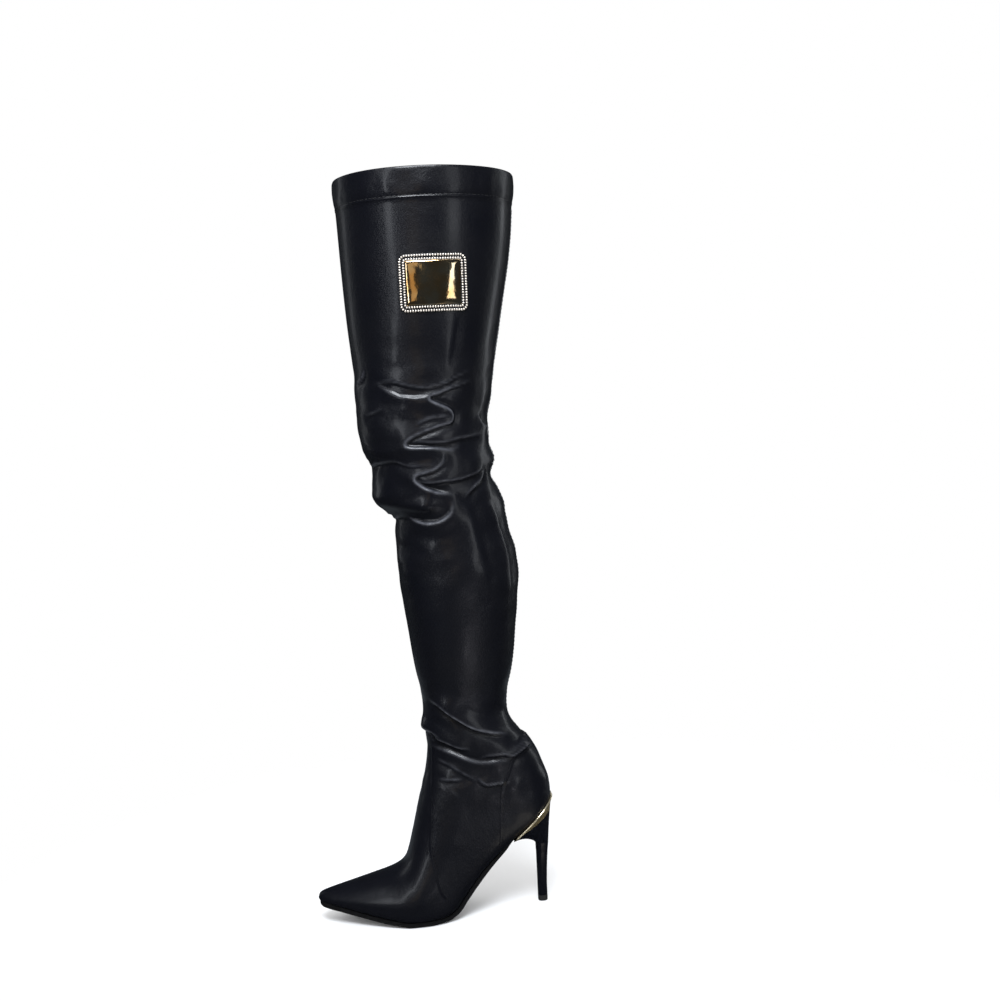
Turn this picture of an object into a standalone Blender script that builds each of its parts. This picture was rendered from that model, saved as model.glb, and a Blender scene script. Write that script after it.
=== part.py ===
"""Thigh-high boot for the left foot, with a stiletto heel and a zip on its inner side.

The toe points along -X, the outer side of the foot is -Y and the inner side +Y.
The origin is the middle of the heel tip's bottom face, on the floor.
Lengths are in metres.
"""

import math
from collections import namedtuple

import bmesh
import bpy
import numpy as np
from mathutils import Matrix, Vector
from mathutils.bvhtree import BVHTree

# Sizes of the foot
FOOT_LENGTH = 0.2355        # toe tip to the back of the counter
HEEL_BACK = 0.012           # the counter's back, behind the middle of the heel tip
BALL_WIDTH = 0.084
VAMP_HEIGHT = 0.048         # sole to the top of the vamp, just ahead of the ball
TOE_SPRING = 0.0185         # rise of the last's bottom from the tread to the toe
SEAT_HEIGHT = 0.112         # floor to the backmost point of the counter
LAST_SWING = 0.007          # the toe's shift toward the inner side

# Sizes of the shaft
BOOT_HEIGHT = 0.718
ANKLE_HEIGHT = 0.205
THIGH_DEPTH = 0.172
THIGH_WIDTH = 0.154

# Walls and gaps
WALL = 0.0016
GAP = 0.0003                # between pieces that touch on the real boot
HEM_HEIGHT = 0.028
HEM_STEP = 0.0007
SOLE_THICKNESS = 0.0027
SOLE_CURL = 0.0024          # how far the sole's edge climbs the last
TREAD_SINK = 0.0002         # pressed flat off the tread
INSOLE_THICKNESS = 0.0016
INSOLE_LIFT = 0.00045       # insole above the turned-in margin
INSOLE_SIDE_GAP = 0.0026

# Heel
HEEL_TIP_LENGTH = 0.0095
HEEL_TIP_WIDTH = 0.0092
HEEL_TIP_THICKNESS = 0.0055
HEEL_COVER = 0.0010         # thickness of the cup that wraps the counter
STEM_TOP = 0.060            # floor to where the slim stem starts to flare
COLLAR_BELOW = 0.002        # gold wedge: its upper edge below the backmost point
COLLAR_DEPTH = 0.013        # gold wedge: its height at the back
COLLAR_POINT_DEPTH = 0.0006 # gold wedge: its height at the breast
COLLAR_POINT_RISE = 0.001   # gold wedge: its point above the last's bottom, at the breast

# Plaque
PLAQUE_WIDTH = 0.062
PLAQUE_HEIGHT = 0.052
PLAQUE_THICKNESS = 0.0016
PLAQUE_LIFT = 0.0005        # off the curved leather, at the panel's mesh points
PLAQUE_BELOW_COLLAR = 0.104     # collar's edge to the panel's middle
PLAQUE_BEHIND = 0.0025          # panel's middle behind the shaft's middle

# Zip
ZIP_LENGTH = 0.246
ZIP_WIDTH = 0.009           # slot in the upper
ZIP_FOOT_HEIGHT = 0.038     # floor to the slot's lower end
ZIP_FOOT_SHARE = 0.408      # the slot's lower end, ahead of the counter, share of the foot
ZIP_LEAN = 5.8              # degrees that the zip leans back as it rises
TAPE_THICKNESS = 0.0010
TAPE_SINK = 0.0004          # the tape's face below the leather's
TEETH_WIDTH = 0.0034
TEETH_THICKNESS = 0.0009
SLIDER_LENGTH = 0.009
SLIDER_END_GAP = 0.0012     # slot's end to the slider, and to the teeth
SLIDER_WIDTH = 0.0064
SLIDER_THICKNESS = 0.0014
BAIL_HEIGHT = 0.0028
BAIL_WIDTH = 0.0016
BAIL_BAR = 0.0008
PULL_LENGTH = 0.021
PULL_WIDTH = 0.0052
PULL_THICKNESS = 0.0010
PULL_PLAY = 0.0005          # the pull tab's eye beside the bail

# Mesh counts
SIDE_COLUMNS = 13           # margin to front seam, on each side
MARGIN_COLUMNS = 3          # middle of the bottom to the margin's edge, on each side
OUTLINE_POINTS = 90         # fine points on each side of a section
PLAQUE_COLUMNS = 12
PLAQUE_ROWS = 5
ZIP_ROWS = 22
SKIN_PROBE = 0.003          # reach over which the skin's slope is taken

# Sections of the toe and vamp, upright across the foot, from the toe tip backward.
# behind: distance behind the tip, share of FOOT_LENGTH.  spring: rise, share of TOE_SPRING.
# tall: share of VAMP_HEIGHT.  outer, inner: half widths, shares of BALL_WIDTH.
# widest: height of the widest place, share of the section.  low, high: roundness exponents.
# edge: where the margin ends, share of the half width.  rings: steps to the next row.
TOE_COLUMNS = "behind spring tall outer inner widest low high swing edge rings"
TOE_SECTIONS = (
    (0.000, 1.11, 0.02, 0.008, 0.008, 0.50, 2.0, 2.0, 1.00, 0.35, 1),
    (0.006, 0.96, 0.155, 0.050, 0.050, 0.50, 2.1, 2.0, 1.00, 0.35, 1),
    (0.019, 0.865, 0.23, 0.088, 0.088, 0.48, 2.3, 2.0, 0.98, 0.35, 1),
    (0.042, 0.79, 0.29, 0.135, 0.135, 0.46, 2.6, 2.0, 0.95, 0.38, 1),
    (0.085, 0.68, 0.38, 0.198, 0.198, 0.43, 3.0, 2.0, 0.85, 0.50, 2),
    (0.149, 0.51, 0.52, 0.280, 0.282, 0.40, 3.6, 2.0, 0.65, 0.62, 2),
    (0.234, 0.285, 0.71, 0.372, 0.380, 0.37, 4.6, 2.0, 0.40, 0.71, 2),
    (0.314, 0.10, 0.89, 0.447, 0.460, 0.35, 5.5, 2.0, 0.20, 0.77, 2),
)

# Sections that fan round the heel, from the ball to above the ankle.
# sole, top: distance ahead of the counter's back, shares of FOOT_LENGTH.
# rise: of the sole end, share of SEAT_HEIGHT.  crown: of the top end, share of ANKLE_HEIGHT.
FAN_COLUMNS = "sole rise top crown outer inner widest low high swing edge rings"
FAN_SECTIONS = (
    (0.620, 0.000, 0.645, 0.256, 0.488, 0.498, 0.34, 6.0, 2.0, 0.05, 0.79, 2),
    (0.552, 0.000, 0.624, 0.288, 0.494, 0.476, 0.35, 6.0, 2.0, 0.00, 0.79, 2),
    (0.484, 0.006, 0.607, 0.346, 0.472, 0.435, 0.37, 5.6, 2.0, 0.00, 0.78, 2),
    (0.430, 0.055, 0.590, 0.420, 0.440, 0.405, 0.39, 5.4, 2.0, 0.00, 0.77, 2),
    (0.389, 0.156, 0.573, 0.493, 0.417, 0.387, 0.43, 5.2, 2.0, 0.00, 0.76, 1),
    (0.346, 0.270, 0.558, 0.561, 0.403, 0.380, 0.46, 5.2, 2.0, 0.00, 0.75, 1),
    (0.293, 0.400, 0.544, 0.624, 0.396, 0.380, 0.49, 5.2, 2.0, 0.00, 0.74, 1),
    (0.238, 0.512, 0.531, 0.678, 0.393, 0.380, 0.51, 5.3, 2.0, 0.00, 0.73, 1),
    (0.178, 0.618, 0.520, 0.727, 0.391, 0.381, 0.52, 5.4, 2.05, 0.00, 0.71, 2),
    (0.115, 0.703, 0.514, 0.766, 0.391, 0.385, 0.53, 5.0, 2.1, 0.00, 0.68, 2),
    (0.055, 0.779, 0.510, 0.800, 0.392, 0.390, 0.53, 4.4, 2.1, 0.00, 0.60, 2),
    (0.016, 0.870, 0.507, 0.829, 0.394, 0.394, 0.52, 3.4, 2.1, 0.00, 0.50, 2),
    (0.000, 1.000, 0.510, 0.858, 0.398, 0.398, 0.52, 2.7, 2.1, 0.00, 0.42, 1),
    (0.004, 1.127, 0.516, 0.893, 0.404, 0.404, 0.52, 2.4, 2.1, 0.00, 0.38, 1),
    (0.023, 1.280, 0.520, 0.927, 0.410, 0.410, 0.53, 2.2, 2.1, 0.00, 0.34, 1),
    (0.055, 1.436, 0.518, 0.956, 0.414, 0.414, 0.54, 2.1, 2.1, 0.00, 0.32, 1),
    (0.096, 1.563, 0.515, 0.980, 0.417, 0.417, 0.55, 1.9, 2.1, 0.00, 0.31, 1),
    (0.144, 1.682, 0.516, 1.010, 0.420, 0.420, 0.56, 1.85, 2.1, 0.00, 0.30, 1),
    (0.167, 1.810, 0.518, 1.049, 0.426, 0.426, 0.56, 1.85, 2.1, 0.00, 0.30, 1),
)

# Sections of the shaft, level from the calf up.
# up: height above the ankle, share of the shaft.  back: ahead of the counter's back, and
# deep: front to back, shares of THIGH_DEPTH.  wide: share of THIGH_WIDTH.
# lift: how much higher the front is than the back, share of THIGH_DEPTH.
SHAFT_COLUMNS = "up back deep wide lift widest rings"
SHAFT_SECTIONS = (
    (0.021, 0.224, 0.494, 0.474, 0.058, 0.55, 1),
    (0.060, 0.198, 0.538, 0.520, 0.035, 0.54, 1),
    (0.107, 0.172, 0.581, 0.578, 0.012, 0.52, 1),
    (0.160, 0.153, 0.617, 0.630, 0.000, 0.50, 1),
    (0.208, 0.134, 0.654, 0.669, 0.000, 0.49, 1),
    (0.257, 0.122, 0.680, 0.695, 0.000, 0.49, 1),
    (0.302, 0.134, 0.674, 0.695, 0.000, 0.50, 1),
    (0.341, 0.160, 0.648, 0.682, 0.000, 0.50, 1),
    (0.372, 0.174, 0.631, 0.676, 0.000, 0.51, 1),
    (0.388, 0.180, 0.663, 0.680, 0.000, 0.52, 1),
    (0.402, 0.192, 0.709, 0.688, 0.000, 0.52, 1),
    (0.419, 0.212, 0.709, 0.700, 0.000, 0.51, 1),
    (0.446, 0.250, 0.669, 0.714, 0.000, 0.50, 1),
    (0.474, 0.230, 0.686, 0.727, 0.000, 0.50, 1),
    (0.505, 0.250, 0.715, 0.742, 0.000, 0.50, 1),
    (0.544, 0.253, 0.733, 0.760, 0.000, 0.50, 1),
    (0.595, 0.230, 0.759, 0.786, 0.000, 0.50, 1),
    (0.655, 0.198, 0.791, 0.825, 0.000, 0.50, 1),
    (0.717, 0.163, 0.840, 0.870, 0.000, 0.50, 1),
    (0.780, 0.125, 0.889, 0.910, 0.000, 0.50, 1),
    (0.848, 0.084, 0.939, 0.948, 0.000, 0.50, 1),
    (0.903, 0.061, 0.968, 0.971, 0.000, 0.50, 1),
    (1.000, 0.040, 1.000, 1.000, 0.000, 0.50, 1),
)
SHAFT_ROUNDNESS = 2.05
SHAFT_EDGE = 0.30

# Sections of the heel's stem, level, from the tip upward.
# up: share of STEM_TOP.  back, breast: shares of HEEL_TIP_LENGTH behind and ahead of the
# middle.  half: half width, share of HEEL_TIP_WIDTH.
STEM_COLUMNS = "up back breast half"
STEM_SECTIONS = (
    (0.09, 0.49, 0.50, 0.50),
    (0.35, 0.52, 0.49, 0.52),
    (0.62, 0.62, 0.48, 0.57),
    (0.84, 0.74, 0.48, 0.63),
    (1.00, 0.86, 0.50, 0.72),
)
STEM_ROUNDNESS = 2.5
TIP_POINTS = 20
SEAT_SIDE_POINTS = 8        # of the heel's top outline, breast to back, on each side
SEAT_PROBE = 0.0035         # how far above the outline the last's width is taken
SEAT_FRONT_STEPS = 6        # along the heel's breast
SEAT_CORNER_ANGLE = 135     # where the breast's corners meet the stem's outline, in degrees
FLARE_STEPS = 7             # rings between the top outline and the stem
FLARE_REACH = 0.62          # how far in the flare turns before it drops, as a share
FLARE_DROP = 0.022          # how far the flare drops on its way in, at the back
BREAST_ARCH = 0.0010        # rise of the breast's arch above its corners

# Places along the boot, as row numbers of the whole list of sections
SOLE_TOE_ROW = 1.0
MARGIN_TOE_ROW = 4
INSOLE_TOE_ROW = 4.5
BALL_ROW = len(TOE_SECTIONS)
BREAST_ROW = BALL_ROW + 8
SEAT_ROW = BALL_ROW + 10
INSOLE_HEEL_ROW = SEAT_ROW + 0.6
ANKLE_TOP_ROW = BALL_ROW + len(FAN_SECTIONS)

Section = namedtuple(
    "Section",
    "back_x back_z front_x front_z outer inner widest low high swing edge",
)


def clear_scene():
    """Remove whatever the file holds."""
    for old in list(bpy.data.objects):
        bpy.data.objects.remove(old, do_unlink=True)


def named_rows(columns, table):
    """Give each row of a table its column names."""
    row_type = namedtuple("Row", columns)
    return [row_type(*values) for values in table]


def boot_sections():
    """Turn the three tables into sections in metres, with the ring steps after each."""
    tread = SOLE_THICKNESS + GAP
    sections = []
    steps = []
    for row in named_rows(TOE_COLUMNS, TOE_SECTIONS):
        x = HEEL_BACK - FOOT_LENGTH * (1 - row.behind)
        z = tread + TOE_SPRING * row.spring
        sections.append(Section(
            x, z, x, z + VAMP_HEIGHT * row.tall,
            BALL_WIDTH * row.outer, BALL_WIDTH * row.inner,
            row.widest, row.low, row.high, LAST_SWING * row.swing, row.edge,
        ))
        steps.append(row.rings)
    for row in named_rows(FAN_COLUMNS, FAN_SECTIONS):
        sections.append(Section(
            HEEL_BACK - FOOT_LENGTH * row.sole,
            tread + (SEAT_HEIGHT - tread) * row.rise,
            HEEL_BACK - FOOT_LENGTH * row.top,
            ANKLE_HEIGHT * row.crown,
            BALL_WIDTH * row.outer, BALL_WIDTH * row.inner,
            row.widest, row.low, row.high, LAST_SWING * row.swing, row.edge,
        ))
        steps.append(row.rings)
    for row in named_rows(SHAFT_COLUMNS, SHAFT_SECTIONS):
        back_x = HEEL_BACK - THIGH_DEPTH * row.back
        back_z = ANKLE_HEIGHT + (BOOT_HEIGHT - ANKLE_HEIGHT) * row.up
        sections.append(Section(
            back_x, back_z,
            back_x - THIGH_DEPTH * row.deep, back_z + THIGH_DEPTH * row.lift,
            THIGH_WIDTH * row.wide / 2, THIGH_WIDTH * row.wide / 2,
            row.widest, SHAFT_ROUNDNESS, SHAFT_ROUNDNESS, 0.0, SHAFT_EDGE,
        ))
        steps.append(row.rings)
    return sections, steps


def smooth_slopes(places, values):
    """Slopes at each row that never overshoot between rows."""
    widths = np.diff(places)
    rises = np.diff(values) / widths
    slopes = np.zeros(len(values))
    slopes[0] = rises[0]
    slopes[-1] = rises[-1]
    for i in range(1, len(values) - 1):
        before = rises[i - 1]
        after = rises[i]
        if before * after > 0:
            first = 2 * widths[i] + widths[i - 1]
            second = widths[i] + 2 * widths[i - 1]
            slopes[i] = (first + second) / (first / before + second / after)
    return slopes


class Last:
    """The boot's outer form: a smooth run of sections from toe to collar."""

    def __init__(self):
        self.sections, self.steps = boot_sections()
        self.values = np.array(self.sections)
        middles = [self.middle(section) for section in self.sections]
        apart = [(b - a).length for a, b in zip(middles, middles[1:])]
        self.places = np.concatenate([[0.0], np.cumsum(apart)])
        self.slopes = np.array([
            smooth_slopes(self.places, column) for column in self.values.T
        ]).T

    @staticmethod
    def middle(section):
        """Middle of a section's spine."""
        return Vector((
            (section.back_x + section.front_x) / 2,
            section.swing,
            (section.back_z + section.front_z) / 2,
        ))

    def at(self, row):
        """Section at a row number, which may lie between two rows."""
        first = min(int(row), len(self.sections) - 2)
        t = row - first
        span = self.places[first + 1] - self.places[first]
        blend = (
            (2 * t ** 3 - 3 * t ** 2 + 1) * self.values[first]
            + (t ** 3 - 2 * t ** 2 + t) * span * self.slopes[first]
            + (3 * t ** 2 - 2 * t ** 3) * self.values[first + 1]
            + (t ** 3 - t ** 2) * span * self.slopes[first + 1]
        )
        return Section(*blend)

    def row_at_height(self, height):
        """Row number of the shaft section at a height."""
        low = float(ANKLE_TOP_ROW)
        high = float(len(self.sections) - 1)
        for _ in range(40):
            middle = (low + high) / 2
            if self.at(middle).back_z < height:
                low = middle
            else:
                high = middle
        return low

    def ring_rows(self, first=0.0, last=None):
        """Row numbers of the rings between two rows, both included."""
        if last is None:
            last = len(self.sections) - 1
        rows = []
        for i, count in enumerate(self.steps[:-1]):
            rows.extend(i + k / count for k in range(count))
        rows.append(len(self.sections) - 1)
        inside = [row for row in rows if first + 0.05 < row < last - 0.05]
        return [first] + inside + [last]


def spine(section):
    """Start, unit direction and length of a section, sole to top or back to front."""
    start = Vector((section.back_x, section.swing, section.back_z))
    end = Vector((section.front_x, section.swing, section.front_z))
    return start, (end - start).normalized(), (end - start).length


def place(section, across, along):
    """Point of a section; across is + toward the inner side."""
    start, direction, _ = spine(section)
    return start + direction * along + Vector((0.0, across, 0.0))


def half_outline(section, half):
    """Fine points (across, along) of one side, from the bottom middle to the top middle."""
    _, _, length = spine(section)
    below = section.widest * length
    above = length - below
    points = []
    for i in range(OUTLINE_POINTS + 1):
        angle = math.pi * (i / OUTLINE_POINTS - 0.5)
        if angle < 0:
            power = 2 / section.low
            along = below - below * abs(math.sin(angle)) ** power
        else:
            power = 2 / section.high
            along = below + above * math.sin(angle) ** power
        points.append((half * max(math.cos(angle), 0.0) ** power, along))
    return np.array(points)


def bottom_rise(section, across):
    """Height of a section's bottom at a distance from its middle."""
    _, _, length = spine(section)
    half = section.inner if across > 0 else section.outer
    below = section.widest * length
    share = min(abs(across) / half, 1.0)
    return below * (1 - (1 - share ** section.low) ** (1 / section.low))


def width_at_rise(section, half, rise, wall=0.0):
    """Half width at a height above the section's bottom, outside or inside a wall."""
    _, _, length = spine(section)
    below = section.widest * length - wall
    share = min(max((rise - wall) / below, 0.0), 1.0)
    return (half - wall) * (1 - (1 - share) ** section.low) ** (1 / section.low)


def side_places(section, half):
    """Places of the mesh columns on one side: margin first, then up to the top."""
    outline = half_outline(section, half)
    lengths = np.concatenate([[0], np.cumsum(np.hypot(*np.diff(outline, axis=0).T))])
    edge = section.edge * half
    arcs = [edge * k / MARGIN_COLUMNS for k in range(MARGIN_COLUMNS)]
    rest = lengths[-1] - edge
    arcs += [edge + rest * k / SIDE_COLUMNS for k in range(SIDE_COLUMNS + 1)]
    across = np.interp(arcs, lengths, outline[:, 0])
    along = np.interp(arcs, lengths, outline[:, 1])
    return list(zip(across, along))


def ring(section):
    """Points round a section: bottom middle, outer side, top, inner side."""
    outer = side_places(section, section.outer)
    inner = side_places(section, section.inner)
    points = [place(section, -across, along) for across, along in outer]
    points += [place(section, across, along) for across, along in inner[-2:0:-1]]
    return points


def grid_normals(grid):
    """Unit normals of a closed-round grid of points, pointing out of the boot."""
    along = np.gradient(grid, axis=0)
    around = np.roll(grid, -1, axis=1) - np.roll(grid, 1, axis=1)
    normals = np.cross(along, around)
    lengths = np.linalg.norm(normals, axis=2, keepdims=True)
    return normals / np.maximum(lengths, 1e-12)


def new_object(name, mesh_data, material):
    """Make an object from a bmesh and free the bmesh."""
    mesh = bpy.data.meshes.new(name)
    mesh_data.to_mesh(mesh)
    mesh_data.free()
    mesh.materials.append(material)
    built = bpy.data.objects.new(name, mesh)
    bpy.context.collection.objects.link(built)
    return built


def shade(built, degrees=35):
    """Smooth shading with sharp edges past an angle."""
    built.data.shade_smooth()
    built.data.set_sharp_from_angle(angle=math.radians(degrees))


def helper(name, mesh_data):
    """A cutting form, left out of the model."""
    built = new_object(name, mesh_data, MATERIALS["leather"])
    built.hide_render = True
    built.display_type = "WIRE"
    return built


def cut(built, tool, operation="DIFFERENCE"):
    """Add a Boolean modifier."""
    modifier = built.modifiers.new(tool.name, "BOOLEAN")
    modifier.operation = operation
    modifier.object = tool
    modifier.solver = "EXACT"


def make_material(name, colour, roughness, metallic=0.0):
    """Plain Principled material."""
    material = bpy.data.materials.new(name)
    material.use_nodes = True
    shader = material.node_tree.nodes["Principled BSDF"]
    shader.inputs["Base Color"].default_value = (*colour, 1.0)
    shader.inputs["Roughness"].default_value = roughness
    shader.inputs["Metallic"].default_value = metallic
    material.diffuse_color = (*colour, 1.0)
    return material


def loft(rings, close_start=True, close_end=True):
    """Closed skin through rings of equally many points."""
    skin = bmesh.new()
    rows = [[skin.verts.new(point) for point in points] for points in rings]
    count = len(rows[0])
    for lower, upper in zip(rows, rows[1:]):
        for k in range(count):
            n = (k + 1) % count
            skin.faces.new((lower[k], lower[n], upper[n], upper[k]))
    if close_start:
        skin.faces.new(rows[0])
    if close_end:
        skin.faces.new(rows[-1])
    bmesh.ops.recalc_face_normals(skin, faces=skin.faces)
    return skin


def last_rings(last, first, end, grow):
    """Rings of the last between two rows, grown outward."""
    rows = last.ring_rows(first, end)
    grid = np.array([[tuple(point) for point in ring(last.at(row))] for row in rows])
    return grid + grid_normals(grid) * grow


def last_block(last, name, grow, end):
    """The last as one closed form, grown outward, to cut other pieces with."""
    grid = last_rings(last, 0.0, end, grow)
    return helper(name, loft([[Vector(point) for point in points] for points in grid]))


def build_upper(last):
    """Hollow upper: outer skin, inner skin, and rims at the collar and underneath."""
    hem_row = last.row_at_height(BOOT_HEIGHT - HEM_HEIGHT)
    hem_ring = last.row_at_height(BOOT_HEIGHT - HEM_HEIGHT + HEM_STEP)
    below_hem = last.ring_rows(0.0, hem_row)
    above_hem = [hem_ring, (hem_ring + len(last.sections) - 1) / 2, len(last.sections) - 1]
    rows = below_hem + above_hem
    proud = [0.0] * len(below_hem) + [HEM_STEP] * len(above_hem)
    outer = np.array([[tuple(point) for point in ring(last.at(row))] for row in rows])
    normals = grid_normals(outer)
    inner = outer - normals * WALL
    outer = outer + normals * np.array(proud)[:, None, None]
    inner[0] = inner[0].mean(axis=0)
    count = outer.shape[1]

    def is_open(i, k):
        """True where the sole closes the upper."""
        under = k < MARGIN_COLUMNS or k >= count - MARGIN_COLUMNS
        return under and MARGIN_TOE_ROW <= rows[i] < SEAT_ROW

    skin = bmesh.new()
    outside = [[skin.verts.new(point) for point in points] for points in outer]
    inside = [[skin.verts.new(point) for point in points] for points in inner[1:]]
    inside.insert(0, [skin.verts.new(inner[0][0])] * count)
    for i in range(len(rows) - 1):
        for k in range(count):
            n = (k + 1) % count
            if is_open(i, k):
                continue
            skin.faces.new((outside[i][k], outside[i][n], outside[i + 1][n], outside[i + 1][k]))
            if i == 0:
                skin.faces.new((inside[0][0], inside[1][k], inside[1][n]))
            else:
                skin.faces.new((inside[i][n], inside[i][k], inside[i + 1][k], inside[i + 1][n]))
            for open_side, a, b in (
                (is_open(i, n), (i, n), (i + 1, n)),
                (is_open(i, k - 1 if k else count - 1), (i + 1, k), (i, k)),
                (i + 1 < len(rows) - 1 and is_open(i + 1, k), (i + 1, n), (i + 1, k)),
                (i > 0 and is_open(i - 1, k), (i, k), (i, n)),
                (i + 1 == len(rows) - 1, (i + 1, n), (i + 1, k)),
            ):
                if open_side:
                    skin.faces.new((
                        outside[b[0]][b[1]], outside[a[0]][a[1]],
                        inside[a[0]][a[1]], inside[b[0]][b[1]],
                    ))
    skin.faces.new(outside[0])
    loose = [vert for vert in skin.verts if not vert.link_faces]
    bmesh.ops.delete(skin, geom=loose, context="VERTS")
    bmesh.ops.recalc_face_normals(skin, faces=skin.faces)
    upper = new_object("upper", skin, MATERIALS["leather"])
    shade(upper, 40)
    return upper


def bottom_strip(last, rows, low, high, halves, floor=None):
    """Slab along the last's bottom between two offsets from it."""
    side = (0.5, 0.8, 0.93, 1.0)
    shares = [-share for share in side[::-1]] + [0.0] + list(side)
    rings = []
    for row, (outer, inner) in zip(rows, halves):
        section = last.at(row)
        across = [share * (inner if share > 0 else outer) for share in shares]
        lower = [place(section, u, low(section, u)) for u in across]
        upper = [place(section, u, high(section, u)) for u in across]
        if floor is not None:
            for point in lower:
                point.z = max(point.z, floor)
        rings.append(lower + upper[::-1])
    return loft(rings)


def end_round(rows, start_length, end_length):
    """Width shares that round off both ends of a strip of rows."""
    shares = []
    for row in rows:
        share = 1.0
        from_start = (row - rows[0] + 0.04) / start_length
        from_end = (rows[-1] - row + 0.04) / end_length
        for place_share in (from_start, from_end):
            if place_share < 1:
                share = min(share, math.sqrt(1 - (1 - place_share) ** 2))
        shares.append(share)
    return shares


def outsole_form(last, grow):
    """The outsole's slab, grown on all sides when it serves as a cutter."""
    rows = last.ring_rows(SOLE_TOE_ROW, BREAST_ROW + grow * 100)
    halves = []
    for row, share in zip(rows, end_round(rows, 1.5, 0.01)):
        section = last.at(row)
        halves.append(tuple(
            width_at_rise(section, half, SOLE_CURL) * share + grow
            for half in (section.outer, section.inner)
        ))

    def low(section, across):
        """Flat underside."""
        return -(GAP + SOLE_THICKNESS + TREAD_SINK) - grow

    def high(section, across):
        """Top that follows the last's bottom."""
        return bottom_rise(section, across) - GAP + grow

    return bottom_strip(last, rows, low, high, halves, floor=0.0 if grow == 0 else None)


def build_outsole(last):
    """Thin outsole, flat on the floor under the ball."""
    outsole = new_object("outsole", outsole_form(last, 0.0), MATERIALS["sole"])
    shade(outsole, 30)
    return outsole


def build_insole(last):
    """Insole on the turned-in margin, inside the upper."""
    rows = last.ring_rows(INSOLE_TOE_ROW, INSOLE_HEEL_ROW)
    bottom = WALL + INSOLE_LIFT
    halves = []
    for row, share in zip(rows, end_round(rows, 0.8, 1.2)):
        section = last.at(row)
        halves.append(tuple(
            share * (width_at_rise(section, half, 2 * bottom, WALL) - INSOLE_SIDE_GAP)
            for half in (section.outer, section.inner)
        ))

    def low(section, across):
        """Underside, just above the margin."""
        return bottom_rise(section, across) + bottom

    def high(section, across):
        """Top of the sock."""
        return bottom_rise(section, across) + bottom + INSOLE_THICKNESS

    insole = new_object("insole", bottom_strip(last, rows, low, high, halves), MATERIALS["sock"])
    shade(insole, 30)
    return insole


def rounded_outline(back, breast, half, roundness, count):
    """Level outline with rounded corners, from its back, breast and half width."""
    points = []
    middle = (back - breast) / 2
    reach = (back + breast) / 2
    for i in range(count):
        angle = 2 * math.pi * i / count
        across = math.copysign(abs(math.sin(angle)) ** (2 / roundness), math.sin(angle))
        along = math.copysign(abs(math.cos(angle)) ** (2 / roundness), math.cos(angle))
        points.append((middle + reach * along, half * across))
    return points


def gold_point(last):
    """Where the gold wedge ends at the breast, as (x, z)."""
    breast = last.at(BREAST_ROW)
    return breast.back_x, breast.back_z + COLLAR_POINT_RISE


def seat_plane(last, x, below_point=0.0, below_back=0.0):
    """Height at x of a plane that leans from the breast's point up to the heel's back."""
    point_x, point_z = gold_point(last)
    low = point_z - below_point
    high = SEAT_HEIGHT - COLLAR_BELOW - below_back
    return low + (x - point_x) * (high - low) / (HEEL_BACK - point_x)


def seat_outline(last, skin):
    """Top outline of the heel, round the last, with the stem angle that each point meets."""
    point_x, _ = gold_point(last)
    grow = GAP + HEEL_COVER
    side = []
    for j in range(SEAT_SIDE_POINTS):
        turn = math.pi / 2 * j / SEAT_SIDE_POINTS
        x = point_x + (HEEL_BACK - point_x) * math.sin(turn)
        z = seat_plane(last, x) + SEAT_PROBE * math.cos(turn)
        widths = (abs(skin.y(x, z, -1)) + grow, abs(skin.y(x, z, 1)) + grow)
        x += grow * math.sin(turn) ** 3
        side.append((Vector((x, 0.0, seat_plane(last, x))), widths, turn))
    points = []
    angles = []
    corner = math.radians(SEAT_CORNER_ANGLE)
    for middle, widths, turn in side:
        points.append(middle - Vector((0.0, widths[0], 0.0)))
        angles.append(-corner * (1 - 2 * turn / math.pi))
    back_x = HEEL_BACK + grow
    points.append(Vector((back_x, 0.0, seat_plane(last, back_x))))
    angles.append(0.0)
    for middle, widths, turn in side[::-1]:
        points.append(middle + Vector((0.0, widths[1], 0.0)))
        angles.append(corner * (1 - 2 * turn / math.pi))
    first = points[-1]
    last_point = points[0]
    for k in range(1, SEAT_FRONT_STEPS):
        share = k / SEAT_FRONT_STEPS
        points.append(first.lerp(last_point, share) - Vector((0.0, 0.0, SOLE_THICKNESS)))
        angles.append(corner + 2 * (math.pi - corner) * share)
    return points, angles


def stem_ring(row, angles):
    """Level outline of the stem at the given angles from its back."""
    back = HEEL_TIP_LENGTH * row.back
    breast = HEEL_TIP_LENGTH * row.breast
    half = HEEL_TIP_WIDTH * row.half
    z = max(STEM_TOP * row.up, HEEL_TIP_THICKNESS + GAP)
    power = 2 / STEM_ROUNDNESS
    points = []
    for angle in angles:
        along = math.copysign(abs(math.cos(angle)) ** power, math.cos(angle))
        across = math.copysign(abs(math.sin(angle)) ** power, math.sin(angle))
        x = (back - breast) / 2 + (back + breast) / 2 * along
        points.append(Vector((x, half * across, z)))
    return points


def heel_rings(last, skin):
    """Rings of the whole heel: slim stem, then a flare up to the outline round the last."""
    top, angles = seat_outline(last, skin)
    rings = [stem_ring(row, angles) for row in named_rows(STEM_COLUMNS, STEM_SECTIONS)]
    stem = rings[-1]
    arch = gold_point(last)[1] + BREAST_ARCH
    for step in range(FLARE_STEPS - 1, -1, -1):
        t = step / FLARE_STEPS
        ring_points = []
        for high, low in zip(top, stem):
            turn = high.lerp(low, FLARE_REACH)
            turn.z = max(high.z - FLARE_DROP, arch)
            point = high * (1 - t) ** 2 + turn * (2 * t * (1 - t)) + low * t ** 2
            ring_points.append(point)
        rings.append(ring_points)
    return rings


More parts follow.
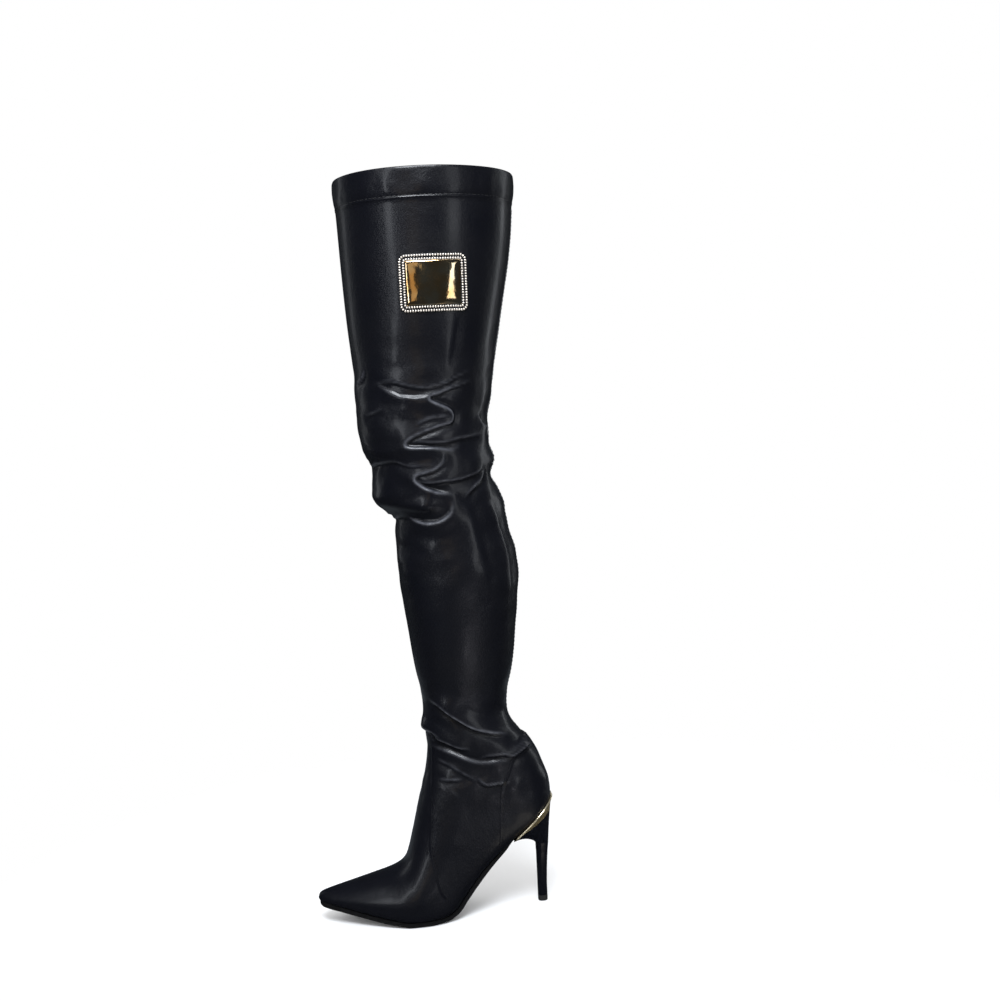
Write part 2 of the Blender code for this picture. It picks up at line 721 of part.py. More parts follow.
def side_prism(name, outline, half):
    """Prism across the boot from a side outline of (x, z) points."""
    form = loft([
        [Vector((x, -half, z)) for x, z in outline],
        [Vector((x, half, z)) for x, z in outline],
    ])
    return helper(name, form)


def build_heel(last, skin):
    """Black heel and its gold wedge, both cut from one form by the last."""
    near_x = gold_point(last)[0] - BALL_WIDTH / 4
    far_x = HEEL_BACK + BALL_WIDTH / 4
    zones = {}
    for name, lower in (("heel_gold_zone", 0.0), ("heel_black_zone", -GAP)):
        zones[name] = side_prism(name, (
            (near_x, seat_plane(last, near_x, COLLAR_POINT_DEPTH, COLLAR_DEPTH) + lower),
            (far_x, seat_plane(last, far_x, COLLAR_POINT_DEPTH, COLLAR_DEPTH) + lower),
            (far_x, ANKLE_HEIGHT),
            (near_x, ANKLE_HEIGHT),
        ), BALL_WIDTH)
    seat_cutter = last_block(last, "heel_seat_cutter", GAP, float(ANKLE_TOP_ROW))
    sole_cutter = helper("heel_sole_cutter", outsole_form(last, GAP))
    for name, material, zone, operation in (
        ("heel", "leather", "heel_black_zone", "DIFFERENCE"),
        ("heel_collar", "gold", "heel_gold_zone", "INTERSECT"),
    ):
        piece = new_object(name, loft(heel_rings(last, skin)), MATERIALS[material])
        cut(piece, seat_cutter)
        cut(piece, sole_cutter)
        cut(piece, zones[zone], operation)
        shade(piece, 35)


def build_heel_tip():
    """Top piece, flat on the floor, with a slightly smaller foot."""
    rings = []
    for z, share in ((0.0, 0.94), (HEEL_TIP_THICKNESS * 0.15, 1.0), (HEEL_TIP_THICKNESS, 1.0)):
        outline = rounded_outline(
            HEEL_TIP_LENGTH / 2 * share, HEEL_TIP_LENGTH / 2 * share,
            HEEL_TIP_WIDTH / 2 * share, STEM_ROUNDNESS, TIP_POINTS,
        )
        rings.append([Vector((x, y, z)) for x, y in outline])
    tip = new_object("heel_tip", loft(rings), MATERIALS["rubber"])
    shade(tip, 30)
    return tip


class Skin:
    """The upper's outer face as something to lay trim on."""

    def __init__(self, last):
        rings = last_rings(last, 0.0, len(last.sections) - 1, 0.0)
        count = len(rings[0])
        points = [Vector(point) for points in rings for point in points]
        faces = []
        for i in range(len(rings) - 1):
            for k in range(count):
                n = (k + 1) % count
                faces.append((
                    i * count + k, i * count + n,
                    (i + 1) * count + n, (i + 1) * count + k,
                ))
        self.tree = BVHTree.FromPolygons(points, faces)

    def y(self, x, z, side):
        """Y of the outer face at (x, z); side is -1 for the outer side, +1 for the inner."""
        start = Vector((x, side * THIGH_WIDTH, z))
        hit, _, _, _ = self.tree.ray_cast(start, Vector((0.0, -side, 0.0)))
        return hit.y

    def point(self, x, z, side, lift):
        """Point at (x, z) raised off the outer face along its normal."""
        reach = SKIN_PROBE
        slope_x = (self.y(x + reach, z, side) - self.y(x - reach, z, side)) / (2 * reach)
        slope_z = (self.y(x, z + reach, side) - self.y(x, z - reach, side)) / (2 * reach)
        normal = Vector((-slope_x, 1.0, -slope_z)).normalized() * side
        return Vector((x, self.y(x, z, side), z)) + normal * lift


def build_plaque(last, skin):
    """Gold panel that follows the outer thigh."""
    lift = PLAQUE_LIFT
    middle_z = BOOT_HEIGHT - PLAQUE_BELOW_COLLAR
    thigh = last.at(last.row_at_height(middle_z))
    middle_x = (thigh.back_x + thigh.front_x) / 2 + PLAQUE_BEHIND
    rings = []
    for i in range(PLAQUE_COLUMNS + 1):
        x = middle_x + PLAQUE_WIDTH * (i / PLAQUE_COLUMNS - 0.5)
        zs = [
            middle_z + PLAQUE_HEIGHT * (k / PLAQUE_ROWS - 0.5)
            for k in range(PLAQUE_ROWS + 1)
        ]
        back = [skin.point(x, z, -1, lift) for z in zs]
        front = [skin.point(x, z, -1, lift + PLAQUE_THICKNESS) for z in zs]
        rings.append(back + front[::-1])
    plaque = new_object("plaque", loft(rings), MATERIALS["gold"])
    shade(plaque, 40)
    return plaque


def zip_foot_x():
    """X of the slot's lower end."""
    return HEEL_BACK - FOOT_LENGTH * ZIP_FOOT_SHARE


def zip_place(skin, share, across, lift):
    """Point on the zip: share of its length, distance across it, lift off the leather."""
    lean = math.radians(ZIP_LEAN)
    length = ZIP_LENGTH * share
    x = zip_foot_x() + math.sin(lean) * length + math.cos(lean) * across
    z = ZIP_FOOT_HEIGHT + math.cos(lean) * length - math.sin(lean) * across
    return skin.point(x, z, 1, lift)


def zip_strip(skin, halves, low, high, end_gap):
    """Strip along the zip between two lifts, with columns at the given half widths."""
    across = sorted([-half for half in halves] + list(halves))
    rings = []
    for i in range(ZIP_ROWS + 1):
        share = end_gap + (1 - 2 * end_gap) * i / ZIP_ROWS
        lower = [zip_place(skin, share, u, low) for u in across]
        upper = [zip_place(skin, share, u, high) for u in across]
        rings.append(lower + upper[::-1])
    return loft(rings)


def build_zip(skin, upper):
    """Slot in the upper, tape and teeth in it, slider and pull tab at its top."""
    lean = math.radians(ZIP_LEAN)
    half = ZIP_WIDTH / 2
    foot = Vector((zip_foot_x(), 0.0, ZIP_FOOT_HEIGHT))
    up = Vector((math.sin(lean), 0.0, math.cos(lean)))
    side = Vector((math.cos(lean), 0.0, -math.sin(lean)))
    outline = [
        foot - side * half, foot + side * half,
        foot + side * half + up * ZIP_LENGTH, foot - side * half + up * ZIP_LENGTH,
    ]
    slot = helper("zip_slot", loft([
        [point + Vector((0.0, BALL_WIDTH * 0.1, 0.0)) for point in outline],
        [point + Vector((0.0, THIGH_WIDTH, 0.0)) for point in outline],
    ]))
    cut(upper, slot)

    end_gap = GAP / ZIP_LENGTH
    tape_half = half - GAP
    tape = zip_strip(
        skin, (TEETH_WIDTH / 2, tape_half),
        -TAPE_SINK - TAPE_THICKNESS, -TAPE_SINK, end_gap,
    )
    shade(new_object("zip_tape", tape, MATERIALS["tape"]), 30)
    teeth_low = GAP - TAPE_SINK
    teeth = zip_strip(
        skin, (TEETH_WIDTH / 2,), teeth_low, teeth_low + TEETH_THICKNESS,
        SLIDER_END_GAP / ZIP_LENGTH,
    )
    shade(new_object("zip_teeth", teeth, MATERIALS["gold"]), 30)
    build_slider(skin, teeth_low + TEETH_THICKNESS + GAP)


def box_points(low, high):
    """Corners of a box as two rings."""
    a, b = low, high
    return [
        [Vector((a[0], a[1], a[2])), Vector((b[0], a[1], a[2])),
         Vector((b[0], b[1], a[2])), Vector((a[0], b[1], a[2]))],
        [Vector((a[0], a[1], b[2])), Vector((b[0], a[1], b[2])),
         Vector((b[0], b[1], b[2])), Vector((a[0], b[1], b[2]))],
    ]


def extrude_outline(outline, axis, start, end):
    """Solid from a flat outline of two numbers, pushed along the axis that they leave out."""
    rings = []
    for level in (start, end):
        points = []
        for first, second in outline:
            values = [first, second]
            values.insert(axis, level)
            points.append(Vector(values))
        rings.append(points)
    return loft(rings)


def build_slider(skin, base):
    """Slider with its bail, and the pull tab that hangs in it.

    In their own frame X runs across the zip, Y up along it and Z away from the leather.
    """
    reach = SLIDER_LENGTH / 2
    middle_share = 1 - (reach + SLIDER_END_GAP) / ZIP_LENGTH
    share_step = reach / ZIP_LENGTH
    here = zip_place(skin, middle_share, 0.0, 0.0)
    along = (
        zip_place(skin, middle_share + share_step, 0.0, 0.0)
        - zip_place(skin, middle_share - share_step, 0.0, 0.0)
    ).normalized()
    across = (
        zip_place(skin, middle_share, -ZIP_WIDTH / 2, 0.0)
        - zip_place(skin, middle_share, ZIP_WIDTH / 2, 0.0)
    ).normalized()
    out = across.cross(along).normalized()
    across = along.cross(out).normalized()
    frame = Matrix((across, along, out)).transposed().to_4x4()
    frame.translation = here

    top = base + SLIDER_THICKNESS
    bail_top = top + BAIL_HEIGHT
    bail_reach = reach - BAIL_BAR
    side_outline = (
        (-reach, base), (reach, base), (reach, top), (bail_reach, top),
        (bail_reach, bail_top - BAIL_BAR / 2), (bail_reach - BAIL_BAR / 2, bail_top),
        (-bail_reach + BAIL_BAR / 2, bail_top), (-bail_reach, bail_top - BAIL_BAR / 2),
        (-bail_reach, top), (-reach, top),
    )
    body = new_object("zip_slider", extrude_outline(
        side_outline, 0, -SLIDER_WIDTH / 2, SLIDER_WIDTH / 2,
    ), MATERIALS["gold"])
    window = helper("slider_window", loft(box_points(
        (-SLIDER_WIDTH, -bail_reach + BAIL_BAR, top),
        (SLIDER_WIDTH, bail_reach - BAIL_BAR, bail_top - BAIL_BAR),
    )))
    body.matrix_world = frame
    window.matrix_world = frame
    cut(body, window)
    for sign in (-1, 1):
        low = min(sign * BAIL_WIDTH / 2, sign * SLIDER_WIDTH)
        high = max(sign * BAIL_WIDTH / 2, sign * SLIDER_WIDTH)
        shoulder = helper("slider_shoulder_%d" % (sign + 1), loft(box_points(
            (low, -SLIDER_LENGTH, top), (high, SLIDER_LENGTH, bail_top + BAIL_HEIGHT),
        )))
        shoulder.matrix_world = frame
        cut(body, shoulder)

    pin_height = (top + bail_top - BAIL_BAR) / 2
    pin = frame @ Vector((0.0, 0.0, pin_height))
    half = PULL_WIDTH / 2
    eye = BAIL_WIDTH / 2 + PULL_PLAY
    thin = PULL_THICKNESS / 2
    eye_end = SLIDER_LENGTH / 2 + GAP
    corner = half * 0.5
    plate = extrude_outline((
        (-half, thin), (half, thin), (half, -PULL_LENGTH + corner),
        (half - corner, -PULL_LENGTH), (-half + corner, -PULL_LENGTH),
        (-half, -PULL_LENGTH + corner),
    ), 2, -thin, thin)
    pull = new_object("zip_pull", plate, MATERIALS["gold"])
    hole = helper("pull_eye", loft(box_points(
        (-eye, -eye_end, -PULL_WIDTH), (eye, -thin, PULL_WIDTH),
    )))
    cut(pull, hole)

    # The tab hangs straight down from its pin, turned only about the axis across the zip.
    down = Vector((0.0, 0.0, -1.0))
    hang = (down - across * down.dot(across)).normalized()
    hang_frame = Matrix((across, -hang, across.cross(-hang))).transposed().to_4x4()
    hang_frame.translation = pin
    pull.matrix_world = hang_frame
    hole.matrix_world = hang_frame
    shade(body, 30)
    shade(pull, 30)


def main():
    """Build every piece of the boot."""
    last = Last()
    skin = Skin(last)
    upper = build_upper(last)
    build_outsole(last)
    build_insole(last)
    build_heel(last, skin)
    build_heel_tip()
    build_plaque(last, skin)
    build_zip(skin, upper)


clear_scene()
MATERIALS = {
    "leather": make_material("leather", (0.012, 0.013, 0.017), 0.30),
    "sole": make_material("sole", (0.015, 0.015, 0.016), 0.55),
    "rubber": make_material("rubber", (0.02, 0.02, 0.02), 0.7),
    "sock": make_material("sock", (0.05, 0.045, 0.04), 0.8),
    "tape": make_material("tape", (0.02, 0.02, 0.022), 0.85),
    "gold": make_material("gold", (0.83, 0.62, 0.38), 0.15, 1.0),
}
main()
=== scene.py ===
# %% [markdown]
# # A thigh-high boot with a stiletto heel, dressed for its picture
#
# The real boot is one long tube of smooth black leather, pulled over a last and closed
# underneath by a thin sole.  A gold wedge and a slim wrapped heel carry it, a padded gold
# panel sits on the thigh, and a zip runs up the inner side of the ankle.
#
# The solids come from the part's own source.  This lesson lays the looks over them: leather
# that creases at the knee and the ankle, seams, beads, a zip with its coil, and finishes.
#
# The toe points along -X, the outer side of the foot is -Y, and lengths are in metres.

# %% Load the frame
import math
from collections import namedtuple

import bmesh
import bpy
import numpy as np
from mathutils import Matrix, Vector, noise
from mathutils.bvhtree import BVHTree


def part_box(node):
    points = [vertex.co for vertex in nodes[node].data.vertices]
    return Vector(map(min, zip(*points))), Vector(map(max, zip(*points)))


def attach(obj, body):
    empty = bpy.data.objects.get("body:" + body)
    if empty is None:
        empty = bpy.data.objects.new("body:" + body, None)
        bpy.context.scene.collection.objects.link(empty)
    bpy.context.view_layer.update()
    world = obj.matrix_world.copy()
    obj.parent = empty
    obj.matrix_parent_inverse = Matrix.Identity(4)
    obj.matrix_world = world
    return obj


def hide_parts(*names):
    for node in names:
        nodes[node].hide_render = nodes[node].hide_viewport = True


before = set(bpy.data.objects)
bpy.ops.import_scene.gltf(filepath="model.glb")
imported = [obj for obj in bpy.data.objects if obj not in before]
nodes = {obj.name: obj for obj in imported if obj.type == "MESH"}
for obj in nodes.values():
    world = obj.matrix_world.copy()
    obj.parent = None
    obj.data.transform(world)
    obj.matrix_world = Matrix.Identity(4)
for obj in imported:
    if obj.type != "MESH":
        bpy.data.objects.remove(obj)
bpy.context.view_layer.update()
print("solids:", ", ".join(sorted(nodes)))

# %% [markdown]
# ## The camera
#
# The picture was taken from 1.2 metres away and half a metre up, with the camera turned
# a little toward the heel, tipped down and rolled.  The camera could be placed by eye, but a
# few named numbers say the same and can be checked: how far it stands from the heel, how
# high, how far it is shifted sideways, and three angles.

# %% Camera
CAMERA_AWAY = 1.210
CAMERA_HEIGHT = 0.500
CAMERA_ASIDE = -0.0223
CAMERA_YAW = math.radians(8)
CAMERA_TIP = math.radians(4.407)
CAMERA_ROLL = math.radians(3)
CAMERA_LENS = 44.28


def place_camera():
    """Stand the camera where the picture was taken from."""
    ahead = Vector((math.sin(CAMERA_YAW), math.cos(CAMERA_YAW), 0.0))
    aside = Vector((math.cos(CAMERA_YAW), -math.sin(CAMERA_YAW), 0.0))
    up = Vector((0.0, 0.0, 1.0))
    looking = ahead * math.cos(CAMERA_TIP) - up * math.sin(CAMERA_TIP)
    level_up = ahead * math.sin(CAMERA_TIP) + up * math.cos(CAMERA_TIP)
    right = aside * math.cos(CAMERA_ROLL) - level_up * math.sin(CAMERA_ROLL)
    top = aside * math.sin(CAMERA_ROLL) + level_up * math.cos(CAMERA_ROLL)
    data = bpy.data.cameras.new("camera")
    data.lens = CAMERA_LENS
    camera = bpy.data.objects.new("camera", data)
    bpy.context.scene.collection.objects.link(camera)
    camera.matrix_world = Matrix((right, top, -looking)).transposed().to_4x4()
    camera.location = aside * CAMERA_ASIDE - ahead * CAMERA_AWAY + up * CAMERA_HEIGHT
    bpy.context.scene.camera = camera
    return camera


print("camera at", [round(v, 3) for v in place_camera().location])

# %% [markdown]
# ## The last
#
# A boot takes its shape from a last, the wooden foot that the leather is pulled over.  Here
# the last is three short tables of sections, the same ones that the solids were made from.
# The solids could be subdivided instead, but that rounds off the toe and wanders from the
# last.  Sampling the tables again, more finely, gives leather that is smooth and true.

# %% Sizes and tables of the last
FOOT_LENGTH = 0.2355
HEEL_BACK = 0.012
BALL_WIDTH = 0.084
VAMP_HEIGHT = 0.048
TOE_SPRING = 0.0185
SEAT_HEIGHT = 0.112
LAST_SWING = 0.007
BOOT_HEIGHT = 0.718
ANKLE_HEIGHT = 0.205
THIGH_DEPTH = 0.172
THIGH_WIDTH = 0.154
WALL = 0.0016
GAP = 0.0003
SOLE_THICKNESS = 0.0027
MM = 0.001

TOE_COLUMNS = "behind spring tall outer inner widest low high swing edge"
TOE_SECTIONS = (
    (0.000, 1.11, 0.02, 0.008, 0.008, 0.50, 2.0, 2.0, 1.00, 0.35),
    (0.006, 0.96, 0.155, 0.050, 0.050, 0.50, 2.1, 2.0, 1.00, 0.35),
    (0.019, 0.865, 0.23, 0.088, 0.088, 0.48, 2.3, 2.0, 0.98, 0.35),
    (0.042, 0.79, 0.29, 0.135, 0.135, 0.46, 2.6, 2.0, 0.95, 0.38),
    (0.085, 0.68, 0.38, 0.198, 0.198, 0.43, 3.0, 2.0, 0.85, 0.50),
    (0.149, 0.51, 0.52, 0.280, 0.282, 0.40, 3.6, 2.0, 0.65, 0.62),
    (0.234, 0.285, 0.71, 0.372, 0.380, 0.37, 4.6, 2.0, 0.40, 0.71),
    (0.314, 0.10, 0.89, 0.447, 0.460, 0.35, 5.5, 2.0, 0.20, 0.77),
)
FAN_COLUMNS = "sole rise top crown outer inner widest low high swing edge"
FAN_SECTIONS = (
    (0.620, 0.000, 0.645, 0.256, 0.488, 0.498, 0.34, 6.0, 2.0, 0.05, 0.79),
    (0.552, 0.000, 0.624, 0.288, 0.494, 0.476, 0.35, 6.0, 2.0, 0.00, 0.79),
    (0.484, 0.006, 0.607, 0.346, 0.472, 0.435, 0.37, 5.6, 2.0, 0.00, 0.78),
    (0.430, 0.055, 0.590, 0.420, 0.440, 0.405, 0.39, 5.4, 2.0, 0.00, 0.77),
    (0.389, 0.156, 0.573, 0.493, 0.417, 0.387, 0.43, 5.2, 2.0, 0.00, 0.76),
    (0.346, 0.270, 0.558, 0.561, 0.403, 0.380, 0.46, 5.2, 2.0, 0.00, 0.75),
    (0.293, 0.400, 0.544, 0.624, 0.396, 0.380, 0.49, 5.2, 2.0, 0.00, 0.74),
    (0.238, 0.512, 0.531, 0.678, 0.393, 0.380, 0.51, 5.3, 2.0, 0.00, 0.73),
    (0.178, 0.618, 0.520, 0.727, 0.391, 0.381, 0.52, 5.4, 2.05, 0.00, 0.71),
    (0.115, 0.703, 0.514, 0.766, 0.391, 0.385, 0.53, 5.0, 2.1, 0.00, 0.68),
    (0.055, 0.779, 0.510, 0.800, 0.392, 0.390, 0.53, 4.4, 2.1, 0.00, 0.60),
    (0.016, 0.870, 0.507, 0.829, 0.394, 0.394, 0.52, 3.4, 2.1, 0.00, 0.50),
    (0.000, 1.000, 0.510, 0.858, 0.398, 0.398, 0.52, 2.7, 2.1, 0.00, 0.42),
    (0.004, 1.127, 0.516, 0.893, 0.404, 0.404, 0.52, 2.4, 2.1, 0.00, 0.38),
    (0.023, 1.280, 0.520, 0.927, 0.410, 0.410, 0.53, 2.2, 2.1, 0.00, 0.34),
    (0.055, 1.436, 0.518, 0.956, 0.414, 0.414, 0.54, 2.1, 2.1, 0.00, 0.32),
    (0.096, 1.563, 0.515, 0.980, 0.417, 0.417, 0.55, 1.9, 2.1, 0.00, 0.31),
    (0.144, 1.682, 0.516, 1.010, 0.420, 0.420, 0.56, 1.85, 2.1, 0.00, 0.30),
    (0.167, 1.810, 0.518, 1.049, 0.426, 0.426, 0.56, 1.85, 2.1, 0.00, 0.30),
)
SHAFT_COLUMNS = "up back deep wide lift widest"
SHAFT_SECTIONS = (
    (0.021, 0.224, 0.494, 0.474, 0.058, 0.55),
    (0.060, 0.198, 0.538, 0.520, 0.035, 0.54),
    (0.107, 0.172, 0.581, 0.578, 0.012, 0.52),
    (0.160, 0.153, 0.617, 0.630, 0.000, 0.50),
    (0.208, 0.134, 0.654, 0.669, 0.000, 0.49),
    (0.257, 0.122, 0.680, 0.695, 0.000, 0.49),
    (0.302, 0.134, 0.674, 0.695, 0.000, 0.50),
    (0.341, 0.160, 0.648, 0.682, 0.000, 0.50),
    (0.372, 0.174, 0.631, 0.676, 0.000, 0.51),
    (0.388, 0.180, 0.663, 0.680, 0.000, 0.52),
    (0.402, 0.192, 0.709, 0.688, 0.000, 0.52),
    (0.419, 0.212, 0.709, 0.700, 0.000, 0.51),
    (0.446, 0.250, 0.669, 0.714, 0.000, 0.50),
    (0.474, 0.230, 0.686, 0.727, 0.000, 0.50),
    (0.505, 0.250, 0.715, 0.742, 0.000, 0.50),
    (0.544, 0.253, 0.733, 0.760, 0.000, 0.50),
    (0.595, 0.230, 0.759, 0.786, 0.000, 0.50),
    (0.655, 0.198, 0.791, 0.825, 0.000, 0.50),
    (0.717, 0.163, 0.840, 0.870, 0.000, 0.50),
    (0.780, 0.125, 0.889, 0.910, 0.000, 0.50),
    (0.848, 0.084, 0.939, 0.948, 0.000, 0.50),
    (0.903, 0.061, 0.968, 0.971, 0.000, 0.50),
    (1.000, 0.040, 1.000, 1.000, 0.000, 0.50),
)
SHAFT_ROUNDNESS = 2.05
SHAFT_EDGE = 0.30
BALL_ROW = len(TOE_SECTIONS)
BREAST_ROW = BALL_ROW + 8
SEAT_ROW = BALL_ROW + 10
ANKLE_TOP_ROW = BALL_ROW + len(FAN_SECTIONS)
TOP_ROW = ANKLE_TOP_ROW + len(SHAFT_SECTIONS) - 1

Section = namedtuple(
    "Section",
    "back_x back_z front_x front_z outer inner widest low high swing edge",
)


def named_rows(columns, table):
    """Give each row of a table its column names."""
    row_type = namedtuple("Row", columns)
    return [row_type(*values) for values in table]


def boot_sections():
    """Turn the three tables into sections in metres."""
    tread = SOLE_THICKNESS + GAP
    sections = []
    for row in named_rows(TOE_COLUMNS, TOE_SECTIONS):
        x = HEEL_BACK - FOOT_LENGTH * (1 - row.behind)
        z = tread + TOE_SPRING * row.spring
        sections.append(Section(
            x, z, x, z + VAMP_HEIGHT * row.tall,
            BALL_WIDTH * row.outer, BALL_WIDTH * row.inner,
            row.widest, row.low, row.high, LAST_SWING * row.swing, row.edge,
        ))
    for row in named_rows(FAN_COLUMNS, FAN_SECTIONS):
        sections.append(Section(
            HEEL_BACK - FOOT_LENGTH * row.sole,
            tread + (SEAT_HEIGHT - tread) * row.rise,
            HEEL_BACK - FOOT_LENGTH * row.top,
            ANKLE_HEIGHT * row.crown,
            BALL_WIDTH * row.outer, BALL_WIDTH * row.inner,
            row.widest, row.low, row.high, LAST_SWING * row.swing, row.edge,
        ))
    for row in named_rows(SHAFT_COLUMNS, SHAFT_SECTIONS):
        back_x = HEEL_BACK - THIGH_DEPTH * row.back
        back_z = ANKLE_HEIGHT + (BOOT_HEIGHT - ANKLE_HEIGHT) * row.up
        sections.append(Section(
            back_x, back_z,
            back_x - THIGH_DEPTH * row.deep, back_z + THIGH_DEPTH * row.lift,
            THIGH_WIDTH * row.wide / 2, THIGH_WIDTH * row.wide / 2,
            row.widest, SHAFT_ROUNDNESS, SHAFT_ROUNDNESS, 0.0, SHAFT_EDGE,
        ))
    return sections


# %% The last as a smooth run of sections
def smooth_slopes(places, values):
    """Slopes at each row that never overshoot between rows."""
    widths = np.diff(places)
    rises = np.diff(values) / widths
    slopes = np.zeros(len(values))
    slopes[0] = rises[0]
    slopes[-1] = rises[-1]
    for i in range(1, len(values) - 1):
        before = rises[i - 1]
        after = rises[i]
        if before * after > 0:
            first = 2 * widths[i] + widths[i - 1]
            second = widths[i] + 2 * widths[i - 1]
            slopes[i] = (first + second) / (first / before + second / after)
    return slopes


class Last:
    """The boot's outer form: a smooth run of sections from toe to collar."""

    def __init__(self):
        self.values = np.array(boot_sections())
        middles = np.stack([
            (self.values[:, 0] + self.values[:, 2]) / 2,
            self.values[:, 9],
            (self.values[:, 1] + self.values[:, 3]) / 2,
        ], axis=1)
        apart = np.linalg.norm(np.diff(middles, axis=0), axis=1)
        self.places = np.concatenate([[0.0], np.cumsum(apart)])
        self.slopes = np.array([
            smooth_slopes(self.places, column) for column in self.values.T
        ]).T

    def at(self, row):
        """Section at a row number, which may lie between two rows."""
        first = min(int(row), len(self.values) - 2)
        t = row - first
        span = self.places[first + 1] - self.places[first]
        blend = (
            (2 * t ** 3 - 3 * t ** 2 + 1) * self.values[first]
            + (t ** 3 - 2 * t ** 2 + t) * span * self.slopes[first]
            + (3 * t ** 2 - 2 * t ** 3) * self.values[first + 1]
            + (t ** 3 - t ** 2) * span * self.slopes[first + 1]
        )
        return Section(*blend)

    def row_at(self, place):
        """Row number at a distance along the last."""
        return float(np.interp(place, self.places, np.arange(len(self.places))))

    def row_at_height(self, height):
        """Row number of the shaft section at a height."""
        low = float(ANKLE_TOP_ROW)
        high = float(TOP_ROW)
        for _ in range(40):
            middle = (low + high) / 2
            if self.at(middle).back_z < height:
                low = middle
            else:
                high = middle
        return low


last = Last()
print("length along the last: %.0f mm" % (last.places[-1] / MM))

# %% Points round a section
OUTLINE_POINTS = 160
MARGIN_COLUMNS = 8      # middle of the bottom to the margin's edge, on each side
SIDE_COLUMNS = 110      # margin's edge to the front, on each side


def spine(section):
    """Start, unit direction and length of a section, sole to top or back to front."""
    start = np.array((section.back_x, section.swing, section.back_z))
    run = np.array((section.front_x, section.swing, section.front_z)) - start
    length = float(np.linalg.norm(run))
    return start, run / length, length


def place(section, across, along):
    """Points of a section; across is + toward the inner side."""
    start, direction, _ = spine(section)
    across = np.asarray(across, float)[..., None]
    along = np.asarray(along, float)[..., None]
    return start + direction * along + np.array((0.0, 1.0, 0.0)) * across


def side_places(section, half):
    """Places of the mesh columns on one side: margin first, then up to the top."""
    _, _, length = spine(section)
    below = section.widest * length
    angle = np.linspace(-math.pi / 2, math.pi / 2, OUTLINE_POINTS + 1)
    power = np.where(angle < 0, 2 / section.low, 2 / section.high)
    rise = np.abs(np.sin(angle)) ** power
    along = np.where(angle < 0, below - below * rise, below + (length - below) * rise)
    across = half * np.maximum(np.cos(angle), 0.0) ** power
    lengths = np.concatenate([[0.0], np.cumsum(np.hypot(np.diff(across), np.diff(along)))])
    edge = section.edge * half
    arcs = np.concatenate([
        edge * np.arange(MARGIN_COLUMNS) / MARGIN_COLUMNS,
        edge + (lengths[-1] - edge) * np.arange(SIDE_COLUMNS + 1) / SIDE_COLUMNS,
    ])
    return np.interp(arcs, lengths, across), np.interp(arcs, lengths, along)


def ring(section):
    """Points round a section: bottom middle, outer side, top, inner side."""
    across, along = side_places(section, section.outer)
    outer = place(section, -across, along)
    across, along = side_places(section, section.inner)
    inner = place(section, across, along)
    return np.concatenate([outer, inner[-2:0:-1]])


def grid_faces(first, rows_of, count, closed=False):
    """Quads between the rows of a grid that runs round, from the point numbered first."""
    faces = []
    for i in range(rows_of if closed else rows_of - 1):
        a = first + i * count
        b = first + (i + 1) % rows_of * count
        faces += [
            (a + k, a + (k + 1) % count, b + (k + 1) % count, b + k) for k in range(count)]
    return faces


def grid_normals(grid):
    """Unit normals of a closed-round grid of points, pointing out of the boot."""
    along = np.gradient(grid, axis=0)
    around = np.roll(grid, -1, axis=1) - np.roll(grid, 1, axis=1)
    normals = np.cross(along, around)
    lengths = np.linalg.norm(normals, axis=2, keepdims=True)
    return normals / np.maximum(lengths, 1e-12)


# %% [markdown]
# ## The plain skin
#
# Leather shows its folds only where the mesh is fine enough to carry them.  The rows could
# be equally close all the way up, but the smooth thigh would then cost as much as the
# knee.  So a short table says how far apart the rows are at each place, and the folded
# places get the closest ones.

# %% Rows and the plain skin
HEM_HEIGHT = 0.028
HEM_STEP = 0.0007
RIM_ROWS = 5
HEM_NEAR = 0.003        # within this of the hem's lower edge the rows are HEM_ROW apart
HEM_ROW = 0.0005
RIM_CLEAR = 0.0004      # no plain row lies closer than this to the rim
LINING_STEP = 4         # the inner face needs only every fourth row and column
SKIN_PROBE = 0.003      # reach over which the skin's slope is taken
END_TURN = 0.04         # closer to the back or front, a spot is found by nearness
ROW_SPACING = (         # row of the last, distance between mesh rows there
    (0.0, 0.0007), (2.0, 0.0012), (5.0, 0.0040), (10.0, 0.0040), (14.0, 0.0021),
    (18.0, 0.0017), (27.0, 0.0017), (29.0, 0.0022), (31.0, 0.0032), (33.0, 0.0014),
    (43.0, 0.0013), (45.0, 0.0045), (TOP_ROW, 0.0050),
)


def skin_rows():
    """Row numbers of the fine mesh, from toe to collar, one more than a multiple of four."""
    at, spacing = zip(*ROW_SPACING)
    hem = last.places[-1] - HEM_HEIGHT
    rim = last.places[-1] - HEM_STEP - WALL
    places = [0.0]
    while places[-1] < rim:
        step = float(np.interp(last.row_at(places[-1]), at, spacing))
        if abs(places[-1] - hem) < HEM_NEAR:
            step = min(step, HEM_ROW)
        places.append(places[-1] + step)
    places = [p for p in places if p < rim - RIM_CLEAR]
    rim_turn = np.linspace(0.0, math.pi / 2, RIM_ROWS)
    places += list(rim + (last.places[-1] - rim) * np.sin(rim_turn))
    while len(places) % LINING_STEP != 1:
        places.pop(len(places) // 8)
    return [last.row_at(p) for p in places]


rows = skin_rows()
plain = np.array([ring(last.at(row)) for row in rows])
normals = grid_normals(plain)
print("skin: %d rows of %d points" % plain.shape[:2])


